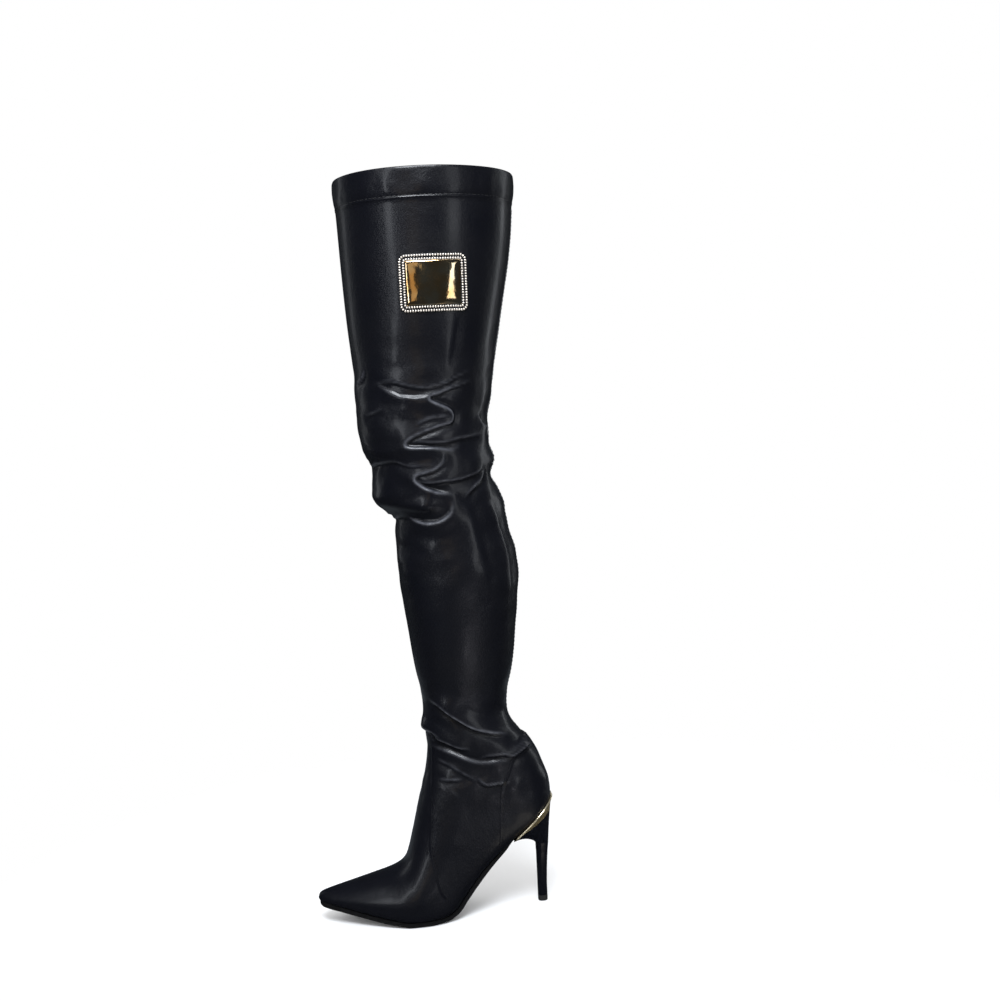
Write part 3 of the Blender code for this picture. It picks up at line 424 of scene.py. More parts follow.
class Skin:
    """A face of the boot as something to lay trim and creases on."""

    def __init__(self, grid):
        faces = [(a, d, c, b) for a, b, c, d in grid_faces(0, *grid.shape[:2])]
        self.tree = BVHTree.FromPolygons(grid.reshape(-1, 3).tolist(), faces)

    def hit(self, start, direction):
        """First point that a ray meets."""
        found, _, _, _ = self.tree.ray_cast(Vector(start), Vector(direction))
        return found

    def y(self, x, z, side):
        """Y of the face at (x, z); side is -1 for the outer side, +1 for the inner."""
        return self.hit((x, side * THIGH_WIDTH, z), (0.0, -side, 0.0)).y

    def point(self, x, z, side, lift=0.0):
        """Point at (x, z) raised off the face along its normal."""
        rise_x = self.y(x + SKIN_PROBE, z, side) - self.y(x - SKIN_PROBE, z, side)
        rise_z = self.y(x, z + SKIN_PROBE, side) - self.y(x, z - SKIN_PROBE, side)
        normal = Vector((-rise_x, 2 * SKIN_PROBE, -rise_z)).normalized() * side
        return Vector((x, self.y(x, z, side), z)) + normal * lift

    def at_turn(self, turn, z):
        """Point at a height and a turn round the leg: 0 back, 1 front, 2 back again."""
        turn = turn % 2.0
        side = -1 if turn <= 1 else 1
        share = turn if turn <= 1 else 2 - turn
        front = self.hit((-1.0, 0.0, z), (1.0, 0.0, 0.0)).x
        back = self.hit((1.0, 0.0, z), (-1.0, 0.0, 0.0)).x
        x = back + (front - back) * share
        if END_TURN < share < 1 - END_TURN:
            return Vector((x, self.y(x, z, side), z))
        half = abs(self.y((front + back) / 2, z, side))
        across = math.sqrt(max(1 - (2 * share - 1) ** 2, 0.0)) * half
        found, _, _, _ = self.tree.find_nearest(Vector((x, side * across, z)))
        return found

    def snap(self, points):
        """Nearest points of the face and the normals there."""
        found = [self.tree.find_nearest(Vector(point)) for point in points]
        spots = np.array([tuple(item[0]) for item in found])
        facing = np.array([tuple(item[1]) for item in found])
        return spots, facing


skin = Skin(plain)

# %% [markdown]
# ## Paths on the leather
#
# Creases, seams, rows of stitches and rows of beads all follow a line on the skin.  Each
# starts as a few listed points.  A curve is drawn through them, cut into even steps,
# and laid on the skin.  At each step the path knows which way it runs, which way is out of
# the leather, and which way is left for someone who walks along it.

# %% Paths
CURVE_STEPS = 16        # steps from one corner to the next before the curve is evened


def curve_through(corners, spacing, closed=False):
    """Even points on a smooth curve through the corners."""
    corners = np.array([tuple(c) for c in corners], float)
    if closed:
        ring_points = np.concatenate([corners[-1:], corners, corners[:2]])
    else:
        start = 2 * corners[0] - corners[1]
        end = 2 * corners[-1] - corners[-2]
        ring_points = np.concatenate([[start], corners, [end]])
    fine = []
    t = np.linspace(0.0, 1.0, CURVE_STEPS + 1)[:-1, None]
    for a, b, c, d in zip(ring_points, ring_points[1:], ring_points[2:], ring_points[3:]):
        fine.append(0.5 * (
            2 * b + (c - a) * t + (2 * a - 5 * b + 4 * c - d) * t ** 2
            + (3 * b - a - 3 * c + d) * t ** 3
        ))
    fine = np.vstack(fine + [ring_points[-2][None]])
    lengths = np.concatenate([[0.0], np.cumsum(np.linalg.norm(np.diff(fine, axis=0), axis=1))])
    count = max(int(round(lengths[-1] / spacing)), 2)
    even = np.linspace(0.0, lengths[-1], count + 1)
    if closed:
        even = even[:-1]
    return np.stack([np.interp(even, lengths, fine[:, i]) for i in range(3)], axis=1)


def blur(values, steps, closed=False):
    """Average each value with its neighbours along a path."""
    for _ in range(steps):
        before = np.roll(values, 1, axis=0)
        after = np.roll(values, -1, axis=0)
        if not closed:
            before[0] = values[0]
            after[-1] = values[-1]
        values = (before + 2 * values + after) / 4
    return values


def unit(vectors):
    """Vectors scaled to length 1."""
    return vectors / np.maximum(np.linalg.norm(vectors, axis=-1, keepdims=True), 1e-12)


class Line:
    """Spots in space, the way along them, and how far each lies from the first."""

    def __init__(self, spots, closed=False):
        self.closed = closed
        self.spots = spots
        if closed:
            self.run = np.roll(spots, -1, axis=0) - np.roll(spots, 1, axis=0)
        else:
            self.run = np.gradient(spots, axis=0)
        self.along = unit(self.run)
        steps = np.linalg.norm(np.diff(spots, axis=0), axis=1)
        self.walked = np.concatenate([[0.0], np.cumsum(steps)])
        self.length = float(self.walked[-1])


class Path(Line):
    """A line on the skin, with the ways along, out and left at each spot."""

    def __init__(self, face, corners, spacing=0.0012, closed=False):
        spots, facing = face.snap(curve_through(corners, spacing, closed))
        super().__init__(blur(spots, 2, closed), closed)
        self.out = unit(blur(facing, 6, closed))
        off = np.sum(self.run * self.out, axis=1, keepdims=True)
        self.along = unit(self.run - self.out * off)
        self.left = np.cross(self.out, self.along)


# %% [markdown]
# ## Creases
#
# The leather is soft and a little long for the leg, so it has settled in folds behind the
# knee and round the ankle.  Cloth simulation could make folds, but never these ones.  Each
# main crease is drawn instead, where the photograph shows it, as a ridge with a hollow
# beside it.  Heights are marks, of which the boot has 718; `turn` runs 0 at the back, 1 at
# the front, and 2 at the back again.  Ridge, reach and hollow are in walls of the leather.
# `side` says on which side of the path the hollow lies, +1 for its left.

# %% Listed creases
MARK = BOOT_HEIGHT / 718
CREASE_COLUMNS = "side ridge reach hollow path"
KNEE_CREASES = (
    (-1, 0.7, 3.0, 1.0, (
        (.86, 526), (.83, 527), (.76, 528), (.66, 524), (.54, 521), (.38, 525), (.32, 529),
        (.23, 534))),
    (1, 0.35, 2.3, 0.8, (
        (.86, 526), (.80, 519), (.74, 515), (.70, 512), (.65, 511), (.59, 510), (.52, 511),
        (.49, 513))),
    (1, 1.4, 2.8, 1.1, (
        (.23, 524), (.35, 519), (.43, 515), (.49, 513), (.50, 509), (.48, 506), (.41, 502),
        (.35, 498), (.32, 493), (.33, 488), (.39, 486), (.48, 483), (.57, 479), (.64, 475),
        (.68, 471), (.69, 466), (.66, 464), (.55, 463), (.44, 462), (.35, 460), (.31, 462))),
    (1, 0.7, 3.0, 0.5, ((.34, 493), (.41, 494), (.48, 493), (.55, 490), (.60, 486))),
    (-1, 0.9, 3.5, 0.9, (
        (.63, 470), (.57, 471), (.47, 470), (.38, 470), (.26, 473), (.09, 475))),
    (1, 1.4, 2.8, 1.1, (
        (.43, 457), (.46, 451), (.52, 446), (.59, 443), (.67, 440), (.69, 435), (.66, 430),
        (.61, 425), (.53, 421), (.43, 419))),
    (-1, 1.5, 4.0, 0.9, (
        (.67, 434), (.56, 433), (.43, 434), (.31, 435), (.18, 440), (.11, 444))),
    (1, 1.2, 3.0, 1.4, ((.10, 441), (.13, 432), (.25, 423), (.33, 416))),
    (1, 1.6, 3.0, 0.4, (
        (.88, 399), (.84, 395), (.77, 392), (.68, 392), (.60, 395), (.51, 402), (.44, 411))),
    (-1, 0.5, 3.0, 0.5, ((1.0, 451), (.85, 454), (.72, 449), (.54, 450))),
    (-1, 0.5, 2.5, 0.5, ((.94, 497), (.89, 499), (.82, 503))),
    (-1, 0.8, 3.0, 0.6, ((.99, 526), (.95, 532), (.93, 541))),
    (1, 1.4, 2.5, 1.2, ((.10, 492), (.09, 487), (.07, 482), (.02, 477))),
    (1, 0.8, 2.5, 0.8, ((.05, 453), (.05, 449), (.03, 444))),
    (-1, 0.8, 2.5, 0.8, ((1.0, 446), (.95, 454))),
    (-1, 0.8, 2.5, 0.6, ((1.03, 398), (.99, 398), (.93, 402))),
    (1, 0.35, 5.0, 0.3, ((.34, 600), (.36, 570), (.39, 535))),
    (1, 1.1, 9.0, 0.5, ((.42, 416), (.40, 400), (.38, 381), (.36, 355), (.33, 325))),
    (1, 0.5, 8.0, 0.3, ((.17, 415), (.14, 390), (.12, 350), (.12, 290))),
)
ANKLE_CREASES = (
    (-1, 2.0, 3.3, 1.6, (
        (.92, 219), (.83, 215), (.73, 208), (.60, 200), (.46, 192), (.31, 186), (.16, 181))),
    (-1, 1.9, 3.6, 1.0, ((.93, 183), (.82, 179), (.71, 174), (.62, 171))),
    (1, 0.7, 2.0, 0.9, (
        (.96, 171), (.82, 167), (.67, 160), (.57, 156), (.48, 155), (.36, 156), (.28, 157))),
    (-1, 1.7, 4.0, 0.8, (
        (.55, 161), (.47, 164), (.39, 164), (.31, 164), (.25, 161), (.15, 164), (.02, 165))),
    (-1, 1.0, 2.8, 0.7, ((.89, 141), (.79, 141), (.72, 141))),
    (-1, 1.4, 3.6, 0.8, ((.58, 141), (.52, 135), (.43, 135), (.34, 136))),
    (1, 0.6, 3.0, 0.5, ((.97, 190), (.95, 175))),
    (-1, 0.7, 3.5, 0.7, ((.92, 160), (.81, 155), (.70, 147), (.59, 139))),
    (1, 0.5, 2.5, 0.5, ((.80, 130), (.73, 124))),
)
ROUND_CREASES = (       # these run round the front or the back, so they have no likes
    (1, 1.1, 5.5, 0.8, ((.34, 161), (.18, 166), (.0, 170), (1.82, 166), (1.66, 161))),
    (1, 1.8, 3.4, 0.8, ((.86, 184), (.94, 188), (1.0, 190), (1.06, 188), (1.14, 184))),
)
INNER_SHARE = 0.9       # creases on the hidden side, beside their likes on the outer side
INNER_RISE = 6          # and how many marks higher they lie
END_FADE = (0.010, 0.030)   # least and most length over which a crease dies out
END_SHARE = 0.25        # and that length as a share of the crease
RUB_SHEEN_REACH = 3.2         # broader ridges than this get a fainter pale crest line, partly wear and partly painted highlight
RUB_SHEEN_HALF = 0.0012       # half width of the pale line on a ridge: partly rubbed wear, partly a painted highlight
SWELL = 1.9             # how long a ridge's rise is, in reaches
ROLL = 0.50             # how short its fall is on its hollow side
OVERHANG = 0.35         # how far a ridge leans over its hollow, as a share of its height
CREASE_MARGIN = 4.5     # how far from its path a crease is felt, in reaches
FADE_PAST = 0.3         # a crease runs on past its ends by this share of its fade
HOLLOW_AT = 0.6         # the hollow's deepest line, in reaches from the path
CREST_AT = 0.1          # and the middle of the pale crest line
FACING = (0.2, 0.6)     # a crease is felt only where the skin faces its way
FULL_RUB_SHEEN = 1.3          # ridges of this many walls and more get the full pale crest line


def smoothstep(low, high, value):
    """0 below low, 1 above high, and a soft rise between."""
    t = np.clip((value - low) / (high - low), 0.0, 1.0)
    return t * t * (3 - 2 * t)


def crease_rows():
    """All creases, those of the hidden side included; each has its like there."""
    found = []
    for row in named_rows(CREASE_COLUMNS, KNEE_CREASES + ANKLE_CREASES):
        found.append(row)
        inner = tuple((2 - turn, mark + INNER_RISE) for turn, mark in row.path)
        found.append(row._replace(
            side=-row.side, ridge=row.ridge * INNER_SHARE,
            hollow=row.hollow * INNER_SHARE, path=inner,
        ))
    return found + named_rows(CREASE_COLUMNS, ROUND_CREASES)


def press_crease(flat, out, lift, lean, rub_and_sheen, row):
    """Add one crease to the lift, the lean and the pale crest lines (partly wear, partly
    painted highlight) of the skin's points.
    """
    path = Path(skin, [skin.at_turn(turn, mark * MARK) for turn, mark in row.path])
    reach = row.reach * WALL
    margin = CREASE_MARGIN * reach
    low = path.spots.min(axis=0) - margin
    high = path.spots.max(axis=0) + margin
    near = np.nonzero(np.all((flat > low) & (flat < high), axis=1))[0]
    for part in np.array_split(near, max(len(near) // 4000, 1)):
        apart = flat[part][:, None, :] - path.spots[None, :, :]
        closest = np.argmin(np.sum(apart ** 2, axis=2), axis=1)
        away = apart[np.arange(len(part)), closest]
        across = np.sum(away * path.left[closest], axis=1) * row.side
        ahead = np.sum(away * path.along[closest], axis=1)
        walked = path.walked[closest] + ahead
        fade = min(max(path.length * END_SHARE, END_FADE[0]), END_FADE[1])
        strength = smoothstep(-FADE_PAST * fade, fade, walked)
        strength *= smoothstep(-FADE_PAST * fade, fade, path.length - walked)
        facing = np.sum(out[part] * path.out[closest], axis=1)
        strength *= smoothstep(*FACING, facing)
        slope = np.where(across < 0, SWELL, ROLL)
        ridge = np.exp(-(across / (reach * slope)) ** 2)
        hollow = smoothstep(0.0, HOLLOW_AT * reach, across)
        hollow *= np.exp(-(np.maximum(across / reach - HOLLOW_AT, 0.0)) ** 2)
        lift[part] += strength * WALL * (row.ridge * ridge - row.hollow * hollow)
        swing = strength * ridge * row.ridge * WALL * OVERHANG * row.side
        lean[part] += path.left[closest] * swing[:, None]
        crest = np.exp(-((across - CREST_AT * reach) / RUB_SHEEN_HALF) ** 2) * strength
        worth = min(row.ridge / FULL_RUB_SHEEN, 1.0) ** 1.5 * min(RUB_SHEEN_REACH / row.reach, 1.0) ** 3
        rub_and_sheen[part] = np.maximum(rub_and_sheen[part], crest * worth)


def press_creases(flat, out):
    """Lift along the normal, sideways lean and pale crest lines (wear and painted highlight),
    at every point of the skin.
    """
    lift = np.zeros(len(flat))
    lean = np.zeros_like(flat)
    rub_and_sheen = np.zeros(len(flat))
    for row in crease_rows():
        press_crease(flat, out, lift, lean, rub_and_sheen, row)
    return lift, lean, rub_and_sheen


flat = plain.reshape(-1, 3)
out = normals.reshape(-1, 3)
lift, lean, rub_and_sheen = press_creases(flat, out)
print("creases: %d, up to %.1f mm high" % (len(crease_rows()), lift.max() / MM))

# %% [markdown]
# ## Slack leather
#
# Between its creases the leather isn't a perfect tube.  It sags in broad soft waves at the
# knee and the ankle, and ripples gently down the thigh.  A seeded noise, sampled at each
# point of the skin, does this, with the waves drawn out along the leg.  Close to the sole,
# the heel, the panel and the zip the leather lies flat, so all relief fades out there.

# %% Slack and the places where the leather lies flat
WAVE_COLUMNS = "low high size tall depth seed"
WAVES = (               # marks between which a wave lives, its size, stretch, depth, seed
    (300, 560, 0.030, 0.7, 0.0013, 3.1),
    (330, 545, 0.013, 0.8, 0.0005, 8.4),
    (95, 235, 0.024, 0.8, 0.0010, 5.7),
    (95, 235, 0.011, 0.9, 0.0004, 2.2),
    (540, 800, 0.045, 2.6, 0.0007, 1.3),
    (230, 420, 0.040, 3.0, 0.0010, 6.6),
)
WAVE_FADE = 25          # marks over which a wave starts and ends
BULGES = (              # turn, mark, size across, size up, height
    (.66, 410, 0.011, 0.0065, 0.0046),
    (.43, 412, 0.006, 0.009, 0.0016),
    (.66, 79, 0.011, 0.008, 0.0008),
    (.30, 123, 0.009, 0.013, 0.0012),
)
FLAT_NEAR = ("heel", "heel_collar", "outsole", "plaque", "zip_tape")
FLAT_FROM = 0.0015
FLAT_TO = 0.0085


def wave_lift(points):
    """Soft unevenness of slack leather."""
    height = points[:, 2] / MARK
    total = np.zeros(len(points))
    for row in named_rows(WAVE_COLUMNS, WAVES):
        strength = smoothstep(row.low - WAVE_FADE, row.low + WAVE_FADE, height)
        strength *= smoothstep(row.high + WAVE_FADE, row.high - WAVE_FADE, height)
        for i in np.nonzero(strength > 0)[0]:
            x, y, z = points[i] / row.size
            spot = Vector((x + row.seed, y - row.seed, z / row.tall))
            total[i] += strength[i] * row.depth * noise.noise(spot)
    for turn, mark, across, tall, height_of in BULGES:
        for mirror in (turn, 2 - turn):
            middle = np.array(skin.at_turn(mirror, mark * MARK))
            away = (points - middle) / np.array((across, across * 2, tall))
            total += height_of * np.exp(-np.sum(away ** 2, axis=1))
    return total


def flat_mask(points):
    """0 beside hard trim, 1 where the leather is free."""
    nearest = np.full(len(points), FLAT_TO)
    for name in FLAT_NEAR:
        mesh = nodes[name].data
        corners = [vert.co for vert in mesh.vertices]
        tree = BVHTree.FromPolygons(corners, [tuple(p.vertices) for p in mesh.polygons])
        low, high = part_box(name)
        inside = np.all(
            (points > np.array(low) - FLAT_TO) & (points < np.array(high) + FLAT_TO), axis=1)
        for i in np.nonzero(inside)[0]:
            found = tree.find_nearest(Vector(points[i]), FLAT_TO)
            if found[0] is not None:
                nearest[i] = min(nearest[i], found[3])
    return smoothstep(FLAT_FROM, FLAT_TO, nearest)


free = flat_mask(flat)
lift = (lift + wave_lift(flat)) * free
lean = lean * free[:, None]
print("leather lies flat at %.0f%% of its points" % (100 * np.mean(free < 0.5)))

# %% [markdown]
# ## The hem
#
# The collar is turned over a band and stitched down, so the hem stands a little proud, is
# plump between its seam and its edge, and has a rounded rim.

# %% Hem and collar rim
HEM_PLUMP = 0.0003
HEM_PUFF = (0.017, 0.0014)  # size and depth of the uneven puffs between seam and edge
HEM_GROOVE = 0.0007
GROOVE_INSIDE = 0.0022  # the groove's middle, inside the hem's lower edge
GROOVE_WIDTH = 0.0016
RIM_TURN = 0.9          # how far the rim turns in, as a share of half the wall
FOLDED = (              # marks over which the folded stretches start and end
    (270, 330, 550, 600), (60, 100, 240, 290),
)
LINING_SLACK = 0.0016   # the lining hangs clear of the creases


def hem_lift(points):
    """Step, plumpness and groove of the turned hem."""
    below_top = BOOT_HEIGHT - points[:, 2]
    inside = HEM_HEIGHT - below_top
    step = HEM_STEP * smoothstep(-0.2 * MM, 0.7 * MM, inside)
    arch = np.sin(math.pi * np.clip(inside / HEM_HEIGHT, 0.0, 1.0)) ** 0.7
    puff = np.zeros(len(points))
    for i in np.nonzero(arch > 0)[0]:
        x, y, z = points[i] / HEM_PUFF[0]
        puff[i] = HEM_PUFF[1] * noise.noise(Vector((x + 2.6, y, z * 0.8)))
    groove = HEM_GROOVE * np.exp(-((inside - GROOVE_INSIDE) / GROOVE_WIDTH) ** 2)
    return step + (HEM_PLUMP + puff) * arch - groove


def rim_inset(points):
    """How far the rim's outer rows turn in toward the middle of the wall."""
    radius = (HEM_STEP + WALL) / 2
    below_top = np.clip((BOOT_HEIGHT - points[:, 2]) / (2 * radius), 0.0, 1.0)
    return radius * RIM_TURN * (1 - np.sqrt(np.maximum(1 - (1 - below_top) ** 2, 0.0)))


lift = lift + hem_lift(flat)
worn_flat = flat + out * (lift - rim_inset(flat))[:, None] + lean
worn_grid = worn_flat.reshape(plain.shape)
heights = flat[:, 2] / MARK
folded = sum(
    smoothstep(start, full, heights) * smoothstep(end, fading, heights)
    for start, full, fading, end in FOLDED)
inner_flat = flat - out * (WALL + LINING_SLACK * folded)[:, None]
inner_grid = inner_flat.reshape(plain.shape)[::LINING_STEP, ::LINING_STEP]
print("hem: %.1f mm proud" % (hem_lift(flat).max() / MM))

# %% Mesh of the upper
def upper_mesh():
    """Points and faces of the whole wall: outside, inside, rim and toe caps."""
    rows_out, count = worn_grid.shape[:2]
    rows_in, half = inner_grid.shape[:2]
    points = np.concatenate([
        worn_grid.reshape(-1, 3), inner_grid.reshape(-1, 3),
        [worn_grid[0].mean(axis=0)], [inner_grid[0].mean(axis=0)],
    ])
    base = rows_out * count
    toe = base + rows_in * half
    faces = grid_faces(0, rows_out, count)
    faces += [(toe, (k + 1) % count, k) for k in range(count)]
    inside = [(b, a, d, c) for a, b, c, d in grid_faces(base, rows_in, half)]
    inside += [(toe + 1, base + k, base + (k + 1) % half) for k in range(half)]
    top = (rows_out - 1) * count
    top_in = base + (rows_in - 1) * half
    for k in range(half):
        n = (k + 1) % half
        edge = [top + (LINING_STEP * k + j) % count for j in range(LINING_STEP + 1)]
        faces.append((*edge, top_in + n, top_in + k))
    return points, faces, inside


def add_piece(name, points, faces, finishes, sharp=40, second=()):
    """Make a mesh object; faces in `second` take the second finish."""
    mesh = bpy.data.meshes.new(name)
    mesh.from_pydata([tuple(p) for p in points], [], list(faces) + list(second))
    for finish in finishes:
        mesh.materials.append(finish)
    for polygon in mesh.polygons[len(faces):]:
        polygon.material_index = 1
    tidy = bmesh.new()
    tidy.from_mesh(mesh)
    bmesh.ops.recalc_face_normals(tidy, faces=tidy.faces)
    tidy.to_mesh(mesh)
    tidy.free()
    mesh.shade_smooth()
    mesh.set_sharp_from_angle(angle=math.radians(sharp))
    piece = bpy.data.objects.new(name, mesh)
    bpy.context.scene.collection.objects.link(piece)
    return piece


# %% [markdown]
# ## Finishes, and a way to write them
#
# A material is a web of nodes.  It could be wired by hand, but the sums in it are easier
# to read as sums.  `Wire` stands for one number in the web, and adding or multiplying two
# of them adds the Math node that does it.  `Finish` is a material with one method that
# makes any other node.

# %% Wires and finishes
class Wire:
    """One value in a material's web."""

    def __init__(self, finish, socket):
        self.finish = finish
        self.socket = socket

    def sum_with(self, operation, first, second):
        """Math node on two values."""
        return self.finish.node(
            "ShaderNodeMath", {"operation": operation}, {0: first, 1: second})

    def __add__(self, other):
        return self.sum_with("ADD", self, other)

    def __radd__(self, other):
        return self.sum_with("ADD", other, self)

    def __sub__(self, other):
        return self.sum_with("SUBTRACT", self, other)

    def __rsub__(self, other):
        return self.sum_with("SUBTRACT", other, self)

    def __mul__(self, other):
        return self.sum_with("MULTIPLY", self, other)

    def __rmul__(self, other):
        return self.sum_with("MULTIPLY", other, self)


class Finish:
    """A material of the boot."""

    def __init__(self, name, **sockets):
        self.material = bpy.data.materials.new(name)
        self.material.use_nodes = True
        self.tree = self.material.node_tree
        self.shader = self.tree.nodes["Principled BSDF"]
        for socket, value in sockets.items():
            self.set(socket.replace("_", " "), value)
        self.place = self.node("ShaderNodeTexCoord", output="Object")

    def set(self, socket, value):
        """Put a number, a colour or a wire on the shader's socket."""
        self.feed(self.shader.inputs[socket], value)

    def feed(self, socket, value):
        """Set a socket or link a wire to it."""
        if isinstance(value, Wire):
            self.tree.links.new(value.socket, socket)
        elif isinstance(value, tuple) and len(value) == 3 and len(socket.default_value) == 4:
            socket.default_value = (*value, 1.0)
        else:
            socket.default_value = value

    def node(self, kind, settings=None, inputs=None, output=0):
        """Add any node: its settings first, then its sockets."""
        made = self.tree.nodes.new(kind)
        settings = dict(settings or {})
        stops = settings.pop("stops", None)
        for name, value in settings.items():
            setattr(made, name, value)
        if stops:
            ramp = made.color_ramp
            while len(ramp.elements) < len(stops):
                ramp.elements.new(0.5)
            for element, (position, level) in zip(ramp.elements, stops):
                element.position = position
                element.color = (level, level, level, 1.0)
        for name, value in (inputs or {}).items():
            self.feed(made.inputs[name], value)
        return Wire(self, made.outputs[output])

    def noise(self, scale, detail=2.0, place=None):
        """Soft noise from 0 to 1."""
        return self.node("ShaderNodeTexNoise", inputs={
            "Vector": place or self.place, "Scale": scale, "Detail": detail})

    def cells(self, scale):
        """Distance to the nearest of many scattered points."""
        return self.node("ShaderNodeTexVoronoi", inputs={
            "Vector": self.place, "Scale": scale}, output="Distance")

    def stretch(self, x, y, z):
        """Place on the piece, stretched along each way."""
        return self.node("ShaderNodeVectorMath", {"operation": "MULTIPLY"}, {
            0: self.place, 1: (x, y, z)})

    def ramp(self, value, *stops):
        """Number through a ramp of stops."""
        return self.node("ShaderNodeValToRGB", {"stops": stops}, {0: value})

    def mix(self, share, first, second):
        """Blend of two colours."""
        return self.node("ShaderNodeMix", {"data_type": "RGBA"}, {
            0: share, 6: first, 7: second}, 2)

    def bump(self, height, distance, under=None):
        """Relief too fine for the mesh."""
        inputs = {"Height": height, "Distance": distance}
        if under is not None:
            inputs["Normal"] = under
        return self.node("ShaderNodeBump", inputs=inputs)


# %% [markdown]
# ## Leather
#
# Smooth calf with a soft gloss: nearly black with a hint of blue, a pebbled grain about a
# millimetre wide that only shows in the highlights, a coat that was polished unevenly, and a
# pale line along the crest of each fold that is partly rubbed wear and partly painted
# highlight.
# A photo of leather could be wrapped on, but grain from scattered cells has no seams and
# holds at any distance.

# %% Leather finishes
LEATHER_BLACK = (0.0027, 0.0030, 0.0054)
# grey of the pale crest lines on the folds: partly rubbed wear, partly a painted highlight
RUB_AND_SHEEN_GREY = (0.080, 0.084, 0.098)
PEBBLES = 850.0         # cells of the grain and of its pores in a metre
PORES = 2300.0
COAT = 0.34             # the coat's weight, and what the uneven polish takes off it
COAT_WORN = 0.20


def leather_finish(name, colour, gloss, grain):
    """Black leather; a higher gloss is smoother, a higher grain rougher to the touch."""
    finish = Finish(name, Specular_IOR_Level=0.36, Coat_Roughness=0.15, Coat_IOR=1.5)
    mottle = finish.noise(38.0, 3.0)
    dyed = finish.mix(mottle, tuple(0.75 * c for c in colour), colour)
    # The fold crests are paled toward grey: partly rubbed wear, partly a painted highlight
    # that draws bright lines along the folds.
    rub_sheen = finish.node("ShaderNodeAttribute", {"attribute_name": "rub_and_sheen"}, output="Fac")
    worn_and_sheen = rub_sheen * finish.ramp(finish.noise(160.0, 3.0), (0.30, 0.35), (0.60, 1.0))
    finish.set("Base Color", finish.mix(worn_and_sheen, dyed, RUB_AND_SHEEN_GREY))
    polish = finish.ramp(finish.noise(22.0, 4.0), (0.30, 0.0), (0.72, 1.0))
    finish.set("Roughness", gloss + 0.12 * polish)
    finish.set("Coat Weight", COAT - COAT_WORN * polish)
    wrinkles = finish.bump(finish.noise(230.0, 4.0), grain * 2.4)
    relief = 0.7 * finish.cells(PEBBLES) + 0.3 * finish.cells(PORES)
    finish.set("Normal", finish.bump(relief, grain, under=wrinkles))
    return finish.material


leather = leather_finish("black_leather", LEATHER_BLACK, 0.29, 0.00010)
wrap_leather = leather_finish("heel_wrap_leather", LEATHER_BLACK, 0.20, 0.00004)


print("leathers:", leather.name, wrap_leather.name)

# %% [markdown]
# ## Plain finishes
#
# The lining, sole, tip, sock, tape, coil and thread differ only in their numbers: one fine
# noise moves each between two close shades, and its gloss and relief with it.

# %% Plain finishes
PLAIN_COLUMNS = "name shine scale detail drawn dark pale rough more relief"
PLAIN_FINISHES = (      # drawn: how the noise is stretched.  more: roughness it adds.
    ("lining", 0.30, 900.0, 3.0, None,
     (0.022, 0.021, 0.022), (0.036, 0.034, 0.034), 0.72, 0.12, 0.00008),
    ("sole_black", 0.20, 300.0, 4.0, (0.25, 1.0, 1.0),
     (0.002, 0.002, 0.003), (0.006, 0.006, 0.006), 0.50, 0.22, 0.00012),
    ("tip_black", 0.40, 700.0, 5.0, None,
     (0.006, 0.006, 0.006), (0.018, 0.018, 0.017), 0.55, 0.25, 0.00010),
    ("sock", 0.30, 1100.0, 2.0, (1.0, 0.3, 1.0),
     (0.030, 0.027, 0.025), (0.060, 0.053, 0.047), 0.80, 0.10, 0.00015),
    ("zip_tape_black", 0.25, 1600.0, 1.0, (1.0, 1.0, 0.35),
     (0.008, 0.008, 0.009), (0.022, 0.022, 0.024), 0.78, 0.12, 0.00018),
    ("coil_black", 0.50, 900.0, 2.0, None,
     (0.012, 0.012, 0.013), (0.026, 0.026, 0.028), 0.32, 0.12, 0.0),
    ("black_thread", 0.50, 3000.0, 2.0, None,
     (0.008, 0.008, 0.009), (0.020, 0.020, 0.022), 0.55, 0.0, 0.0),
)


def plain_finish(row):
    """A finish whose shade, gloss and relief all follow one fine noise."""
    finish = Finish(row.name, Specular_IOR_Level=row.shine)
    drawn = finish.stretch(*row.drawn) if row.drawn else None
    grain = finish.noise(row.scale, row.detail, drawn)
    finish.set("Base Color", finish.mix(grain, row.dark, row.pale))
    finish.set("Roughness", row.rough + row.more * grain if row.more else row.rough)
    if row.relief:
        finish.set("Normal", finish.bump(grain, row.relief))
    return finish.material


plain_rows = named_rows(PLAIN_COLUMNS, PLAIN_FINISHES)
lining, sole_black, tip_black, sock, tape_black, coil_black, thread = map(
    plain_finish, plain_rows)
print("plain finishes:", ", ".join(row.name for row in plain_rows))

# %% [markdown]
# ## The upper with its slot
#
# The zip lies in a slot.  The slot could be left out of the mesh row by row, but the zip
# leans and its edges would be jagged, so a slim block is cut out of the finished wall.

# %% Upper
ZIP_LENGTH = 0.246
ZIP_WIDTH = 0.009
ZIP_FOOT_HEIGHT = 0.038
ZIP_FOOT_SHARE = 0.408
ZIP_LEAN = math.radians(5.8)
UPPER_SHARP = 60        # degrees past which an edge of the upper stays sharp


def zip_spot(length, across):
    """(x, z) at a length up the zip and a distance across it."""
    x = HEEL_BACK - FOOT_LENGTH * ZIP_FOOT_SHARE
    x += math.sin(ZIP_LEAN) * length + math.cos(ZIP_LEAN) * across
    z = ZIP_FOOT_HEIGHT + math.cos(ZIP_LEAN) * length - math.sin(ZIP_LEAN) * across
    return x, z


